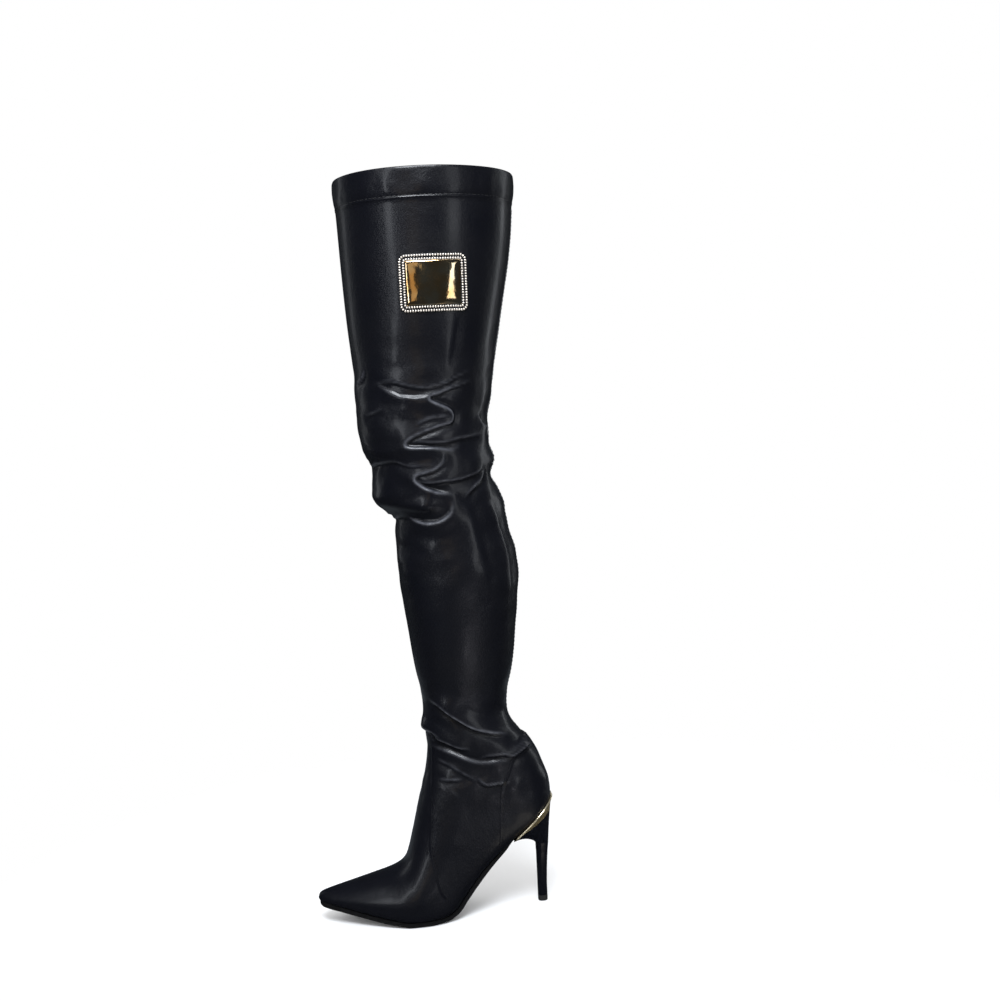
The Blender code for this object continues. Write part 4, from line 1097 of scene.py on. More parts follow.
def build_upper():
    """The whole wall of the boot, cut open along the zip."""
    points, faces, inside = upper_mesh()
    upper = add_piece(
        "upper_leather_skin", points, faces, [leather, lining], UPPER_SHARP, inside)
    # Each point's share of the pale crest line, partly wear and partly painted highlight, is
    # stored on the mesh.
    rub_sheen_layer = upper.data.attributes.new("rub_and_sheen", "FLOAT", "POINT")
    for i, value in enumerate(rub_and_sheen * free):
        rub_sheen_layer.data[i].value = value
    half = ZIP_WIDTH / 2
    corners = [zip_spot(*at) for at in (
        (0.0, -half), (0.0, half), (ZIP_LENGTH, half), (ZIP_LENGTH, -half))]
    block = [(x, BALL_WIDTH * 0.1, z) for x, z in corners]
    block += [(x, THIGH_WIDTH, z) for x, z in corners]
    sides = [(0, 1, 2, 3), (7, 6, 5, 4)]
    sides += [(k, k + 4, (k + 1) % 4 + 4, (k + 1) % 4) for k in range(4)]
    slot = add_piece("slot_block", block, sides, [leather])
    cut = upper.modifiers.new("slot", "BOOLEAN")
    cut.operation = "DIFFERENCE"
    cut.object = slot
    cut.solver = "EXACT"
    bpy.context.view_layer.update()
    seen = upper.evaluated_get(bpy.context.evaluated_depsgraph_get())
    whole = upper.data
    upper.data = bpy.data.meshes.new_from_object(seen)
    upper.data.name = "upper_leather_skin"
    upper.modifiers.clear()
    bpy.data.meshes.remove(whole)
    bpy.data.objects.remove(slot, do_unlink=True)
    upper.data.shade_smooth()
    upper.data.set_sharp_from_angle(angle=math.radians(UPPER_SHARP))
    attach(upper, "boot")
    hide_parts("upper")
    return upper


upper = build_upper()
worn = Skin(worn_grid)
print("upper: %d faces" % len(upper.data.polygons))

# %% [markdown]
# ## Small things in long rows
#
# Stitches, beads and coils are one small form repeated along a path.  Instances would
# hide them from the export, so each copy is written into one mesh.

# %% Rows, tubes and ribbons
DROP_REACH = 0.006      # how far off the worn skin a spot is looked for
RIBBON_SINK = 0.0004    # a ribbon's underside below the skin
STITCH_LENGTH = 0.0026
STITCH_GAP = 0.0009
STITCH_THICK = 0.00030


def pill(steps, rings):
    """Points and faces of a ball of radius 1, to be stretched."""
    points = [(-1.0, 0.0, 0.0)]
    for i in range(1, rings):
        angle = math.pi * i / rings
        for k in range(steps):
            turn = 2 * math.pi * k / steps
            points.append((
                -math.cos(angle), math.sin(angle) * math.cos(turn),
                math.sin(angle) * math.sin(turn)))
    points.append((1.0, 0.0, 0.0))
    faces = []
    end = len(points) - 1
    for k in range(steps):
        n = (k + 1) % steps
        faces.append((0, 1 + n, 1 + k))
        for i in range(rings - 2):
            a = 1 + i * steps
            faces.append((a + k, a + n, a + steps + n, a + steps + k))
        faces.append((end, end - steps + k, end - steps + n))
    return np.array(points), faces


def repeat(name, form, spots, ways, sizes, finish):
    """Copies of a small form; ways are the three unit directions at each spot."""
    points, faces = form
    all_points = []
    all_faces = []
    for i, (spot, (along, left, up)) in enumerate(zip(spots, ways)):
        scaled = points * np.array(sizes)
        placed = spot + scaled[:, :1] * along + scaled[:, 1:2] * left + scaled[:, 2:] * up
        all_points.append(placed)
        all_faces += [tuple(v + i * len(points) for v in face) for face in faces]
    return add_piece(name, np.vstack(all_points), all_faces, [finish], 60)


def drop_on(spot, out_way):
    """Point of the worn skin straight under or over a spot."""
    start = Vector(spot + out_way * DROP_REACH)
    found, _, _, _ = worn.tree.ray_cast(start, Vector(-out_way), 2 * DROP_REACH)
    return np.array(found) if found is not None else spot


def stitch_row(name, path, across=0.0, sink=0.35):
    """A row of thread stitches laid on the worn skin beside a path."""
    pitch = STITCH_LENGTH + STITCH_GAP
    spots = []
    ways = []
    for i in range(int(path.length / pitch)):
        here = (i + 0.5) * pitch
        k = min(int(np.searchsorted(path.walked, here)), len(path.spots) - 1)
        middle = drop_on(path.spots[k] + path.left[k] * across, path.out[k])
        spots.append(middle + path.out[k] * STITCH_THICK * (1 - 2 * sink))
        ways.append((path.along[k], path.left[k], path.out[k]))
    sizes = (STITCH_LENGTH / 2, STITCH_THICK, STITCH_THICK)
    return repeat(name, pill(5, 4), spots, ways, sizes, thread)


def ribbon(name, path, profile):
    """Closed leather strip on the worn skin with a section of (across, height) points."""
    closed_profile = list(profile) + [(across, -RIBBON_SINK) for across, _ in profile[::-1]]
    rings = []
    for spot, left, out_way in zip(path.spots, path.left, path.out):
        rings.append([
            drop_on(spot + left * across, out_way) + out_way * height
            for across, height in closed_profile])
    return sweep(name, rings, leather, path.closed)


def sweep(name, rings, finish, closed=False, sharp=35):
    """Skin over rings of points, with its ends shut unless it runs round."""
    count = len(rings[0])
    points = [point for ring_points in rings for point in ring_points]
    faces = grid_faces(0, len(rings), count, closed)
    if not closed:
        faces.append(tuple(range(count)))
        faces.append(tuple(range(len(points) - count, len(points))))
    return add_piece(name, points, faces, [finish], sharp)


def tube(name, path, radius, finish, steps, flat_share=1.0, wave=None):
    """Round cord along a path, thinned at its ends."""
    rings = []
    total = len(path.spots)
    for k in range(total):
        end = 1.0 if path.closed else min(1.0, min(k, total - 1 - k) / 2.0 + 0.3)
        shift = wave(path.walked[k]) if wave else 0.0
        middle = path.spots[k] + path.out[k] * shift
        rings.append([
            middle + path.left[k] * radius * end * math.cos(2 * math.pi * j / steps)
            + path.out[k] * radius * flat_share * end * math.sin(2 * math.pi * j / steps)
            for j in range(steps)
        ])
    return sweep(name, rings, finish, path.closed, 80)


def keep(piece, slot, *replaced, body="boot"):
    """Let a piece ride with its body and hide the solids that it stands for; the slot argument
    is not used.
    """
    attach(piece, body)
    if replaced:
        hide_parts(*replaced)
    print("%s: %d faces" % (piece.name, len(piece.data.polygons)))
    return piece


# %% [markdown]
# ## Seams
#
# Three panels make the foot: a vamp that reaches up the front, a quarter on each side, and
# a counter round the heel.  Each laps over the next one, which shows as a small sharp step
# with a row of stitches beside it.  A strip covers the seam up the back of the leg.

# %% Seams and stitches
VAMP_SEAM = (           # x ahead of the heel, height
    (-.104, .171), (-.105, .147), (-.107, .120), (-.110, .092), (-.111, .073),
    (-.108, .055), (-.104, .035), (-.099, .027),
)
COUNTER_SEAM = (
    (-.008, .165), (-.026, .158), (-.035, .141), (-.041, .127), (-.043, .104), (-.045, .070),
)
LAP = ((0.0, 0.00060), (0.0007, 0.00070), (0.0018, 0.00042), (0.0034, 0.00005))
LAP_STITCHES = 0.0021   # a lap's edge to its stitches
STRIP_HALF = 0.0047
STRIP_FOOT = 0.170
STRIP_STITCHES = 0.0015     # the strip's edge to its stitches
STRIP_PROFILE = (       # share of the half width, height
    (-1.0, 0.00030), (-0.94, 0.00050), (-0.5, 0.00062), (0.0, 0.00066),
    (0.5, 0.00062), (0.94, 0.00050), (1.0, 0.00030),
)


def lap_seam(name, corners, side, flip):
    """A lapped edge and its stitches on one side of the foot."""
    path = Path(skin, [skin.point(x, z, side) for x, z in corners], 0.0020)
    turned = [(across * flip, height) for across, height in LAP]
    keep(ribbon(name, path, turned), "upper_leather")
    keep(stitch_row(name + "_stitches", path, LAP_STITCHES * flip), "upper_leather")


def back_strip():
    """Narrow strip over the back seam, between the counter and the hem."""
    heights = np.linspace(STRIP_FOOT, BOOT_HEIGHT - HEM_HEIGHT - 0.002, 40)
    path = Path(skin, [skin.hit((1.0, 0.0, z), (-1.0, 0.0, 0.0)) for z in heights], 0.0040)
    profile = [(STRIP_HALF * share, height) for share, height in STRIP_PROFILE]
    keep(ribbon("back_strip", path, profile), "upper_leather")
    for sign, word in ((-1, "outer"), (1, "inner")):
        across = sign * (STRIP_HALF - STRIP_STITCHES)
        keep(stitch_row("back_stitches_" + word, path, across, -0.4), "upper_leather")


for side, word in ((-1, "outer"), (1, "inner")):
    lap_seam("vamp_seam_" + word, VAMP_SEAM, side, side)
    lap_seam("counter_seam_" + word, COUNTER_SEAM, side, -side)
back_strip()
hem_ring = [
    skin.at_turn(turn, BOOT_HEIGHT - HEM_HEIGHT + GROOVE_INSIDE)
    for turn in np.linspace(0, 2, 49)[:-1]
]
hem_path = Path(skin, hem_ring, 0.0020, closed=True)
keep(stitch_row("hem_stitches", hem_path, sink=0.1), "upper_leather")

# %% [markdown]
# ## Gold
#
# The panel and the wedge are metal-faced leather, polished like a mirror, and pale.  A
# plain metal would look like a render of metal, so the gloss is broken by faint smears and
# the face by shallow waves.

# %% Gold finishes
def gold_finish(name, colour, rough, wave, metal=0.97, tint_and_reflection=None):
    """Polished pale gold with faint smears; the last argument is a second shade in broad
    patches, partly a tone of the metal and partly painted reflection.
    """
    finish = Finish(name, Metallic=metal)
    smear = finish.ramp(finish.noise(60.0, 5.0), (0.35, 0.0), (0.75, 1.0))
    shade = finish.mix(smear, colour, tuple(0.86 * c for c in colour))
    # Broad patches of a second shade: partly the metal's own tone, partly painted reflection
    # of coloured light.
    if tint_and_reflection:
        patch = finish.ramp(finish.noise(42.0, 2.0), (0.40, 0.0), (0.60, 1.0))
        shade = finish.mix(patch, shade, tint_and_reflection)
    finish.set("Base Color", shade)
    finish.set("Roughness", rough + 0.07 * smear)
    ripple = finish.noise(150.0, 2.0)
    fine = finish.noise(1400.0, 2.0)
    finish.set("Normal", finish.bump(ripple + 0.02 * fine, wave))
    return finish.material


panel_gold = gold_finish("panel_gold", (0.93, 0.78, 0.52), 0.09, 0.00022, 1.0,
                         (0.90, 0.55, 0.22))
bead_gold = gold_finish("bead_gold", (0.98, 0.90, 0.80), 0.18, 0.00003, 0.50)
wedge_gold = gold_finish("wedge_gold", (0.93, 0.76, 0.42), 0.16, 0.00014, 0.92,
                         (0.55, 0.42, 0.20))
rim_gold = gold_finish("rim_gold", (0.96, 0.85, 0.62), 0.14, 0.00003, 0.88)
zip_gold = gold_finish("zip_gold", (0.92, 0.76, 0.55), 0.14, 0.00002)

# %% [markdown]
# ## The panel
#
# A rounded, padded square of gold on the outer thigh.  Two raised rows of beads run round
# it, with a dark channel between.  It could be one bent plate, but the padding and the
# rows are what catches the light, so it is built as rings that climb, dip and swell.

# %% Gold panel
PLAQUE_WIDTH = 0.062
PLAQUE_HEIGHT = 0.052
PLAQUE_BELOW_COLLAR = 0.104
PLAQUE_BEHIND = 0.0025
PLAQUE_CORNER = 0.0065
PANEL_RINGS = (         # inset from the edge and height off the leather, in millimetres
    (0.0, -0.3), (0.0, 0.6), (0.25, 0.85), (2.2, 0.9), (2.9, 0.75), (3.6, 0.9), (5.6, 0.95),
    (5.9, 1.5), (6.3, 1.95), (6.9, 2.2), (7.8, 2.4), (9.0, 2.57), (10.4, 2.7), (12.0, 2.8),
    (13.6, 2.88), (15.4, 2.95), (17.2, 3.0), (19.0, 3.04), (21.0, 3.07), (23.0, 3.08),
    (25.0, 3.08),
)
GROUND_RINGS = 7        # the first rings are the dark ground that the beads sit on
PANEL_WAVES = (         # size in metres and depth of the soft waves of the padding
    (0.024, 0.00170), (0.011, 0.00040),
)
CORNER_POINTS = 9
SIDE_POINTS = 14
BEAD_HEIGHT = 0.0012    # middle of a bead off the leather
BEAD_PITCH = 0.0024
BEAD_LONG = 0.00078     # half length and half height of a bead
BEAD_TALL = 0.00090
BEAD_ROWS = (           # inset from the panel's edge, and half width of a bead
    ("outer_beads", 0.0013, 0.00112), ("inner_beads", 0.0046, 0.00108),
)


def plaque_middle():
    """(x, z) of the panel's middle."""
    z = BOOT_HEIGHT - PLAQUE_BELOW_COLLAR
    thigh = last.at(last.row_at_height(z))
    return (thigh.back_x + thigh.front_x) / 2 + PLAQUE_BEHIND, z


def rounded_square(inset):
    """Points round the panel's outline, moved in by an inset."""
    wide = PLAQUE_WIDTH / 2 - inset
    tall = PLAQUE_HEIGHT / 2 - inset
    corner = max(PLAQUE_CORNER - inset, 0.10 * min(wide, tall))
    points = []
    for quarter, (sx, sz) in enumerate(((1, 1), (-1, 1), (-1, -1), (1, -1))):
        cx = sx * (wide - corner)
        cz = sz * (tall - corner)
        for j in range(CORNER_POINTS):
            angle = math.pi / 2 * (quarter + j / (CORNER_POINTS - 1))
            points.append((cx + corner * math.cos(angle), cz + corner * math.sin(angle)))
        reach = (tall - corner) if quarter % 2 else (wide - corner)
        x, z = points[-1]
        dx, dz = ((-1, 0), (0, -1), (1, 0), (0, 1))[quarter]
        for j in range(1, SIDE_POINTS):
            step = 2 * reach * j / SIDE_POINTS
            points.append((x + dx * step, z + dz * step))
    return points


def panel_spot(x, z, height):
    """Point over the leather at a place on the panel."""
    middle_x, middle_z = plaque_middle()
    return skin.point(middle_x + x, middle_z + z, -1, height)


def build_panel():
    """Padded gold panel with a channel round it."""
    rings = []
    for inset, height in PANEL_RINGS:
        share = float(smoothstep(5.5, 11.0, inset))
        points = []
        for x, z in rounded_square(inset * MM):
            wave = sum(
                depth * noise.noise(Vector((x / size, 4.7, z / size * 0.55)))
                for size, depth in PANEL_WAVES)
            points.append(panel_spot(x, z, height * MM + wave * share))
        rings.append(points)
    panel = sweep("gold_panel", rings, panel_gold, sharp=60)
    panel.data.materials.append(leather)
    middle_x, middle_z = plaque_middle()
    limit = [side / 2 - PANEL_RINGS[GROUND_RINGS][0] * MM - 0.0001
             for side in (PLAQUE_WIDTH, PLAQUE_HEIGHT)]
    for face in panel.data.polygons:
        spot = face.center
        if abs(spot.x - middle_x) > limit[0] or abs(spot.z - middle_z) > limit[1]:
            face.material_index = 1
    return panel


def bead_row(name, inset, wide):
    """Ring of beads on the panel."""
    corners = [panel_spot(x, z, BEAD_HEIGHT) for x, z in rounded_square(inset)]
    points = curve_through(corners, BEAD_PITCH, closed=True)
    facing = unit(np.array([
        np.array(skin.tree.find_nearest(Vector(p))[1]) for p in points]))
    facing = unit(blur(facing, 6, True))
    ways = [(a, np.cross(o, a), o) for a, o in zip(Line(points, True).along, facing)]
    return repeat(name, pill(8, 6), points, ways, (BEAD_LONG, wide, BEAD_TALL), bead_gold)


keep(build_panel(), "panel_gold", "plaque")
for name, inset, wide in BEAD_ROWS:
    keep(bead_row(name, inset, wide), "panel_gold")

# %% [markdown]
# ## Sole, heel and insole
#
# The solids of the heel, its gold wedge and its tip have the right shape, so they stay and
# only get finishes.  A bead runs along the wedge's upper edge.  The insole is soft, so its
# solid is replaced by a finer one, and the sole's solid is replaced by a thin sole.

# %% Dress the solids that stay
def dress(name, finish):
    """Give a solid its finish."""
    for slot in nodes[name].material_slots:
        slot.material = finish


dress("heel_tip", tip_black)
dress("heel", wrap_leather)
dress("heel_collar", wedge_gold)
print("dressed: heel, heel_collar, heel_tip")

# %% Wedge bead
COLLAR_BELOW = 0.002
COLLAR_POINT_RISE = 0.001
HEEL_COVER = 0.0010
SEAT_PROBE = 0.0035
WEDGE_BEAD_RADIUS = 0.00088
WEDGE_TURN = 0.97       # the bead stops just short of the breast
WEDGE_POINTS = 41
BEAD_GROW = GAP + 0.8 * HEEL_COVER      # the bead's middle off the last
BACK_CLEAR = 0.0003     # points are looked for this far ahead of the counter's back


def seat_plane(x):
    """Height at x of the wedge's upper edge."""
    breast = last.at(BREAST_ROW)
    low = breast.back_z + COLLAR_POINT_RISE
    high = SEAT_HEIGHT - COLLAR_BELOW
    return low + (x - breast.back_x) * (high - low) / (HEEL_BACK - breast.back_x)


def wedge_edge():
    """Points along the wedge's upper edge, from breast to back to breast."""
    breast_x = last.at(BREAST_ROW).back_x
    points = []
    for turn in np.linspace(-WEDGE_TURN, WEDGE_TURN, WEDGE_POINTS):
        angle = math.pi / 2 * (1 - abs(turn))
        side = -1 if turn < 0 else 1
        x = breast_x + (HEEL_BACK - breast_x) * math.sin(angle)
        x = min(x, HEEL_BACK - BACK_CLEAR)
        z = seat_plane(x)
        across = abs(skin.y(x, z + SEAT_PROBE * math.cos(angle), side)) + BEAD_GROW
        if abs(turn) < 1 / WEDGE_POINTS:
            across = 0.0
        points.append((x + BEAD_GROW * math.sin(angle) ** 3, side * across, z))
    return points


edge_line = Line(curve_through(wedge_edge(), 0.0012))
edge_line.left = unit(np.cross((0.0, 0.0, 1.0), edge_line.along))
edge_line.out = np.cross(edge_line.along, edge_line.left)
keep(tube("wedge_bead", edge_line, WEDGE_BEAD_RADIUS, rim_gold, 10), "heel_gold")

# %% Insole and sole
INSOLE_LIFT = 0.00045
INSOLE_THICKNESS = 0.0016
INSOLE_SIDE_GAP = 0.0026
INSOLE_ROWS = 90
INSOLE_FIRST = 4.5      # row of the last where the sock starts
INSOLE_PAST_SEAT = 0.6  # rows that it runs past the seat
INSOLE_SHARES = np.array((0.0, 0.25, 0.5, 0.7, 0.85, 0.94, 1.0))
INSOLE_EDGE = (0.85, 0.55)  # share of the width where its edge thins, and by how much


def bottom_rise(section, across):
    """Height of a section's bottom at a distance from its middle."""
    _, _, length = spine(section)
    half = section.inner if across > 0 else section.outer
    below = section.widest * length
    share = min(abs(across) / half, 1.0)
    return below * (1 - (1 - share ** section.low) ** (1 / section.low))


def width_at_rise(section, half, rise, wall=0.0):
    """Half width at a height above the section's bottom, outside or inside a wall."""
    _, _, length = spine(section)
    below = section.widest * length - wall
    share = min(max((rise - wall) / below, 0.0), 1.0)
    return (half - wall) * (1 - (1 - share) ** section.low) ** (1 / section.low)


def across_bottom(section, shares, half_at):
    """Places across a section's bottom, outer edge to inner edge, each with its share."""
    outer = half_at(section.outer)
    inner = half_at(section.inner)
    places = [(-outer * share, share) for share in shares[:0:-1]]
    return places + [(inner * share, share) for share in shares]


def build_insole():
    """Sock on its board, with a soft rounded edge."""
    bottom = WALL + INSOLE_LIFT
    end = SEAT_ROW + INSOLE_PAST_SEAT
    thins_at, thinner = INSOLE_EDGE
    rings = []
    for row in np.linspace(INSOLE_FIRST, end, INSOLE_ROWS):
        section = last.at(row)
        ends = 1.0
        for from_end, length in ((row - INSOLE_FIRST + 0.04, 0.8), (end - row + 0.04, 1.2)):
            if from_end < length:
                ends = min(ends, math.sqrt(1 - (1 - from_end / length) ** 2))
        under = []
        top = []
        for across, share in across_bottom(section, INSOLE_SHARES, lambda half: ends * (
                width_at_rise(section, half, 2 * bottom, WALL) - INSOLE_SIDE_GAP)):
            edge = 1 - thinner * max(share - thins_at, 0.0) / (1 - thins_at)
            rise = bottom_rise(section, across) + bottom
            under.append(place(section, across, rise))
            top.append(place(section, across, rise + INSOLE_THICKNESS * edge))
        rings.append(under + top[::-1])
    return rings


SOLE_CURL = 0.0024
TREAD_SINK = 0.0002
SOLE_ROWS = 120
SOLE_TAPER = 0.9        # rows over which the sole thins out under the heel's breast
SOLE_TUCK = 0.16        # and how many rows it runs on under the heel
CURL_TAPER = 3.0        # rows over which its turned-up edge dies out
CURL_LEFT = 0.15        # share of the turned-up edge that is left at the heel
SOLE_FIRST = 1.0        # row of the last where the sole starts
SOLE_SHARES = np.array((0.0, 0.3, 0.55, 0.75, 0.88, 0.96, 1.0))
SOLE_EDGE = (0.88, 0.35)    # share of the width where its edge thins, and by how much


def build_sole():
    """Thin sole with a rounded edge that thins out where it meets the heel."""
    rings = []
    end = BREAST_ROW + SOLE_TUCK
    thins_at, thinner = SOLE_EDGE
    for row in np.linspace(SOLE_FIRST, end, SOLE_ROWS):
        section = last.at(row)
        ends = min((row - SOLE_FIRST + 0.03) / 1.5, 1.0)
        ends = math.sqrt(1 - (1 - ends) ** 2)
        thin = float(smoothstep(-0.1, SOLE_TAPER, end - row))
        shrink = (1 - CURL_LEFT) * float(smoothstep(0.0, CURL_TAPER, end - row))
        curl = SOLE_CURL * (CURL_LEFT + shrink)
        under = []
        top = []
        for across, share in across_bottom(
                section, SOLE_SHARES,
                lambda half: ends * width_at_rise(section, half, curl)):
            edge = max(share - thins_at, 0.0) / (1 - thins_at)
            drop = (SOLE_THICKNESS + TREAD_SINK) * thin * (1 - thinner * edge ** 2)
            low = place(section, across, -GAP - drop)
            low[2] = max(low[2], 0.0)
            under.append(low)
            top.append(place(section, across, bottom_rise(section, across) - GAP))
        rings.append(under + top[::-1])
    return rings


keep(sweep("sock_insole", build_insole(), sock, sharp=50), "sock", "insole")
keep(sweep("thin_sole", build_sole(), sole_black, sharp=40), "outsole", "outsole")

# %% [markdown]
# ## The zip
#
# A black coil zip runs up the inner side.  Its tape sits just below the leather, the coil
# lies in the middle, and the slot's edges are turned back in two small rolls that pucker
# where they were sewn.  The slider and its bail stay as solids.

# %% Zip tape, coil and welts
TAPE_THICKNESS = 0.0010
TAPE_SINK = 0.0004
COIL_PITCH = 0.00125
COIL_HALF = 0.0017
COIL_RISE = 0.00035     # the coil's middle above the tape
SLIDER_END_GAP = 0.0012
PUCKER_PITCH = 0.009
PUCKERS = ((0.00018, 1.0), (0.00008, 0.37))     # depth, and share of the pitch
WELT_RADIUS = 0.0010
WELT_ASIDE = 0.0002     # the slot's edge to the middle of the sewn roll
ZIP_STITCHES = 0.0030   # the slot's edge to the row of stitches


def on_zip(length, across, height):
    """Point over the zip."""
    x, z = zip_spot(length, across)
    return skin.point(x, z, 1, height)


def zip_line(across, start, end, spacing):
    """Path up the zip at a distance across it."""
    lengths = np.linspace(start, end, 40)
    return Path(skin, [on_zip(length, across, 0.0) for length in lengths], spacing)


def build_tape():
    """Woven tape lying just below the leather."""
    across = np.linspace(-1, 1, 9) * (ZIP_WIDTH / 2 - GAP)
    rings = []
    for length in np.linspace(GAP, ZIP_LENGTH - GAP, 90):
        top = [on_zip(length, u, -TAPE_SINK) for u in across]
        below = [on_zip(length, u, -TAPE_SINK - TAPE_THICKNESS) for u in across]
        rings.append(below + top[::-1])
    return sweep("zip_tape_woven", rings, tape_black, sharp=50)


def build_coil():
    """Interlocked turns of the coil."""
    path = zip_line(0.0, SLIDER_END_GAP, ZIP_LENGTH - SLIDER_END_GAP, COIL_PITCH / 2)
    spots = []
    ways = []
    for k in range(len(path.spots)):
        sign = 1 if k % 2 else -1
        spots.append(
            path.spots[k] + path.left[k] * sign * COIL_HALF * 0.38
            + path.out[k] * (COIL_RISE - TAPE_SINK))
        ways.append((path.along[k], path.left[k], path.out[k]))
    sizes = (COIL_PITCH * 0.36, COIL_HALF * 0.62, 0.00052)
    return repeat("zip_coil", pill(6, 4), spots, ways, sizes, coil_black)


def pucker(walked):
    """Small rise and fall along a sewn roll."""
    return sum(
        depth * math.sin(2 * math.pi * walked / (PUCKER_PITCH * share))
        for depth, share in PUCKERS)


keep(build_tape(), "zip_tape", "zip_tape")
keep(build_coil(), "zip_coil", "zip_teeth")
for sign, word in ((-1, "front"), (1, "back")):
    roll = zip_line(sign * (ZIP_WIDTH / 2 + WELT_ASIDE), -MM, ZIP_LENGTH + MM, 0.0014)
    keep(tube("zip_welt_" + word, roll, WELT_RADIUS, leather, 8, 0.8, pucker),
         "upper_leather")
    sewn = zip_line(sign * (ZIP_WIDTH / 2 + ZIP_STITCHES), -MM, ZIP_LENGTH + 2 * MM, 0.0014)
    keep(stitch_row("zip_stitches_" + word, sewn), "upper_leather")
dress("zip_slider", zip_gold)

# %% [markdown]
# ## The pull
#
# The pull is a small pointed link with a slim bar and a knob below it.  Its solid is a
# plain plate; the finer form lies in the plate's place and turns on the same hinge.

# %% Pull
LINK_LENGTH = 0.0088
LINK_HALF = 0.0026
LINK_WIRE = 0.00050
LINK_SHAPE = (          # share of the link's length, and of its half width
    (0, 0), (0, .85), (.10, 1), (.45, 1), (.62, .85), (.80, .45), (1, 0),
    (.80, -.45), (.62, -.85), (.45, -1), (.10, -1), (0, -.85),
)
BAR_COLUMNS = "down half thick"
BAR_PROFILE = (         # down from the top, half width and half thickness, in millimetres
    (8.2, 0.5, 0.4), (8.8, 1.0, 0.5), (17.2, 1.1, 0.5), (17.6, 0.8, 0.45), (18.0, 0.8, 0.45),
    (18.4, 1.4, 0.55), (19.4, 1.7, 0.62), (20.4, 1.3, 0.5), (20.9, 0.5, 0.3),
)


def pull_frame():
    """Top of the plate and its ways: down, across and out."""
    points = np.array([tuple(vert.co) for vert in nodes["zip_pull"].data.vertices])
    middle = (points.min(axis=0) + points.max(axis=0)) / 2
    ways = np.linalg.svd(points - points.mean(axis=0), full_matrices=False)[2]
    down = -ways[0] if ways[0][2] > 0 else ways[0]
    out_way = -ways[2] if ways[2][1] < 0 else ways[2]
    top = middle + down * ((points - middle) @ down).min()
    return top, down, np.cross(out_way, down), out_way


def build_pull():
    """Link and bar of the pull."""
    top, down, aside, out_way = pull_frame()
    corners = []
    for share, width in LINK_SHAPE:
        length = LINK_WIRE + (LINK_LENGTH - 2 * LINK_WIRE) * share
        corners.append(top + down * length + aside * (LINK_HALF - LINK_WIRE) * width)
    wire = Line(curve_through(corners, 0.0005, closed=True), True)
    steps = np.linspace(0, 2 * math.pi, 9)[:-1]
    rings = []
    for spot, way in zip(wire.spots, wire.along):
        side = np.cross(out_way, way)
        rings.append([spot + LINK_WIRE * (side * math.cos(a) + out_way * math.sin(a))
                      for a in steps])
    link = sweep("pull_link", rings, zip_gold, closed=True, sharp=80)
    keep(link, "zip_metal", body="pull_tab")
    rings = []
    for row in named_rows(BAR_COLUMNS, BAR_PROFILE):
        rings.append([
            top + down * row.down * MM + aside * row.half * MM * math.cos(a)
            + out_way * row.thick * MM * math.sin(a) for a in steps])
    bar = sweep("pull_bar", rings, zip_gold, sharp=50)
    keep(bar, "zip_metal", "zip_pull", body="pull_tab")


build_pull()

# %% [markdown]
# ## Floor and light
#
# The picture is a product shot: a white surround, soft strips of light all round, a strong
# light above that draws bright lines on the folds, and glows on the floor in place of its
# own gleam.  The surround is white to the eye but dim in reflections, or the black leather
# would turn grey.

# %% Stage
FLOOR_RADIUS = 0.62
LIGHT_TARGET = Vector((-0.06, 0.0, 0.38))
COOL = (0.92, 0.96, 1.0)
SOFT_LIGHTS = (         # azimuth, height angle, distance, size, power, colour
    ("key", -43, 13, 1.8, (0.24, 1.1), 3.2, (0.90, 0.94, 1.0)),
    ("warm", -17, 3, 2.0, (0.44, 0.6), 0.36, (1.0, 0.74, 0.42)),
    ("side", 31, 6, 2.0, (0.44, 1.2), 2.8, (0.93, 0.96, 1.0)),
    ("top", -14, 52, 1.5, (0.8, 0.7), 31.0, (0.90, 0.94, 1.0)),
    ("rim", 112, 12, 1.7, (0.3, 1.7), 2.6, COOL),
    ("far", 168, 16, 1.8, (0.40, 1.4), 3.0, COOL),
    ("front", -128, 12, 1.8, (0.30, 1.4), 1.0, COOL),
)
GLOW_HEIGHT = 0.002
FLOOR_GLOWS = (         # x, y, size, turn, power, colour
    ("bounce", -0.08, -0.50, (1.0, 0.7), 0, 0.11, (0.80, 0.90, 1.0)),
    ("heel_bounce", 0.04, -0.14, (0.09, 0.08), 0, 0.020, (1.0, 0.94, 0.84)),
    ("counter_bounce", 0.060, -0.445, (0.08, 0.24), -12, 0.30, (0.94, 0.92, 1.0)),
    ("far_bounce", -0.08, 0.50, (1.0, 0.7), 0, 0.28, (0.80, 0.90, 1.0)),
)


def build_floor():
    """Round pale floor that fades out into the surround."""
    steps = 96
    points = [(0.0, 0.0, 0.0)]
    for k in range(steps):
        angle = 2 * math.pi * k / steps
        points.append((FLOOR_RADIUS * math.cos(angle), FLOOR_RADIUS * math.sin(angle), 0.0))
    faces = [(0, k + 1, (k + 1) % steps + 1) for k in range(steps)]
    finish = Finish("floor_white", Roughness=0.6, Base_Color=(0.86, 0.86, 0.86))
    away = finish.node("ShaderNodeVectorMath", {"operation": "LENGTH"},
                       {0: finish.place}, "Value")
    finish.set("Alpha", finish.ramp(away * (1 / FLOOR_RADIUS), (0.30, 1.0), (0.98, 0.0)))
    floor = add_piece("floor", points, faces, [finish.material])
    floor.visible_glossy = False
    return floor


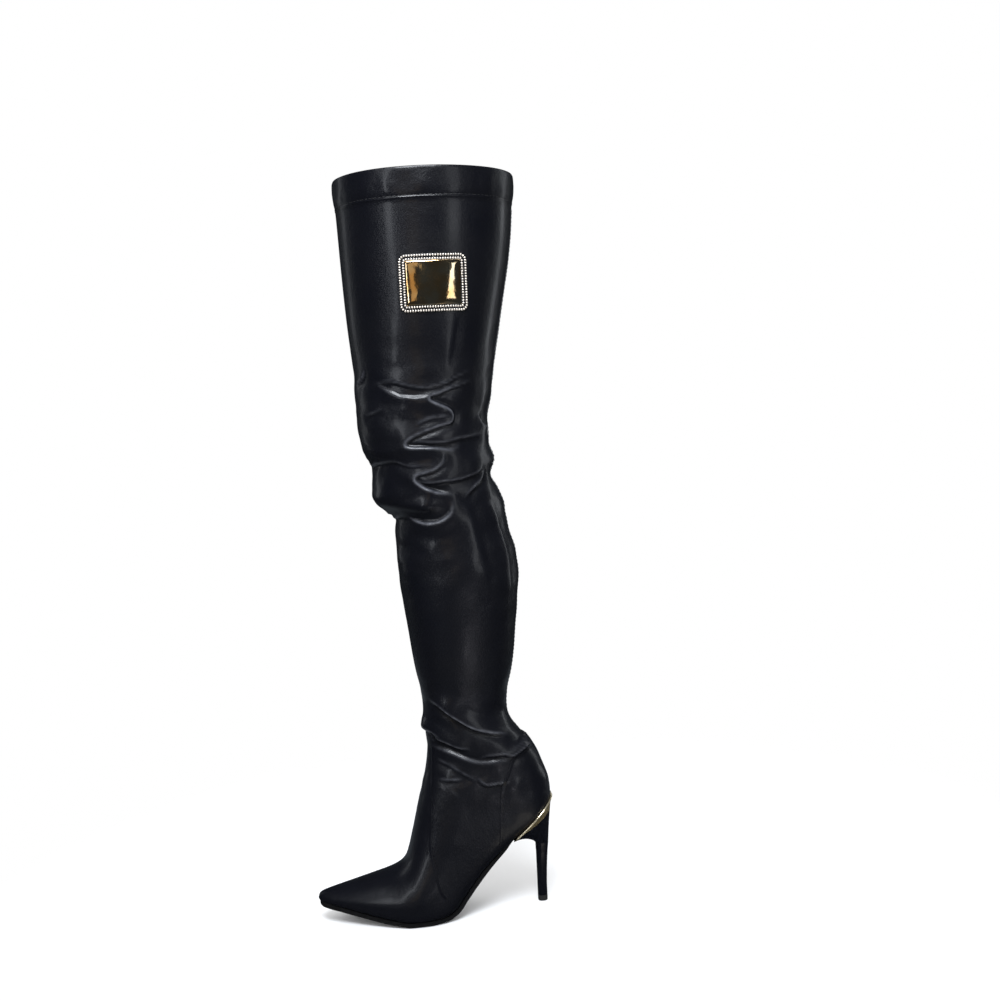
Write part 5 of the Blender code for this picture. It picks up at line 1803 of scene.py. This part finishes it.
def area_light(name, spot, turned, size, power, colour):
    """Rectangle of light, which the camera doesn't see."""
    data = bpy.data.lights.new(name, "AREA")
    data.shape = "RECTANGLE"
    data.size, data.size_y = size
    data.energy = power
    data.color = colour
    light = bpy.data.objects.new(name, data)
    light.visible_camera = False
    bpy.context.scene.collection.objects.link(light)
    light.location = spot
    light.rotation_euler = turned


def soft_light(name, azimuth, height_angle, away, size, power, colour):
    """Light aimed at the boot; azimuth 0 is the camera's side, + toward the heel."""
    turn = math.radians(azimuth)
    rise = math.radians(height_angle)
    way = Vector((
        math.sin(turn) * math.cos(rise), -math.cos(turn) * math.cos(rise), math.sin(rise)))
    turned = way.to_track_quat("Z", "Y").to_euler()
    area_light(name, LIGHT_TARGET + way * away, turned, size, power, colour)


def floor_glow(name, x, y, size, turn, power, colour):
    """Light lying on the floor beside the boot and shining up."""
    turned = (math.pi, 0.0, math.radians(turn))
    area_light(name, (x, y, GLOW_HEIGHT), turned, size, power, colour)


def build_world():
    """White surround that is dim in reflections."""
    world = bpy.data.worlds.new("surround")
    world.use_nodes = True
    bpy.context.scene.world = world
    tree = world.node_tree
    light_path = tree.nodes.new("ShaderNodeLightPath")
    bright = tree.nodes["Background"]
    bright.inputs["Color"].default_value = (1.0, 1.0, 1.0, 1.0)
    bright.inputs["Strength"].default_value = 1.0
    dim = tree.nodes.new("ShaderNodeBackground")
    dim.inputs["Color"].default_value = (0.72, 0.84, 1.0, 1.0)
    dim.inputs["Strength"].default_value = 0.03
    blend = tree.nodes.new("ShaderNodeMixShader")
    tree.links.new(light_path.outputs["Is Glossy Ray"], blend.inputs[0])
    tree.links.new(bright.outputs[0], blend.inputs[1])
    tree.links.new(dim.outputs[0], blend.inputs[2])
    tree.links.new(blend.outputs[0], tree.nodes["World Output"].inputs["Surface"])
    bpy.context.scene.view_settings.view_transform = "Standard"


build_floor()
build_world()
for light_row in SOFT_LIGHTS:
    soft_light(*light_row)
for glow_row in FLOOR_GLOWS:
    floor_glow(*glow_row)
print("floor, surround and", len(SOFT_LIGHTS + FLOOR_GLOWS), "lights")
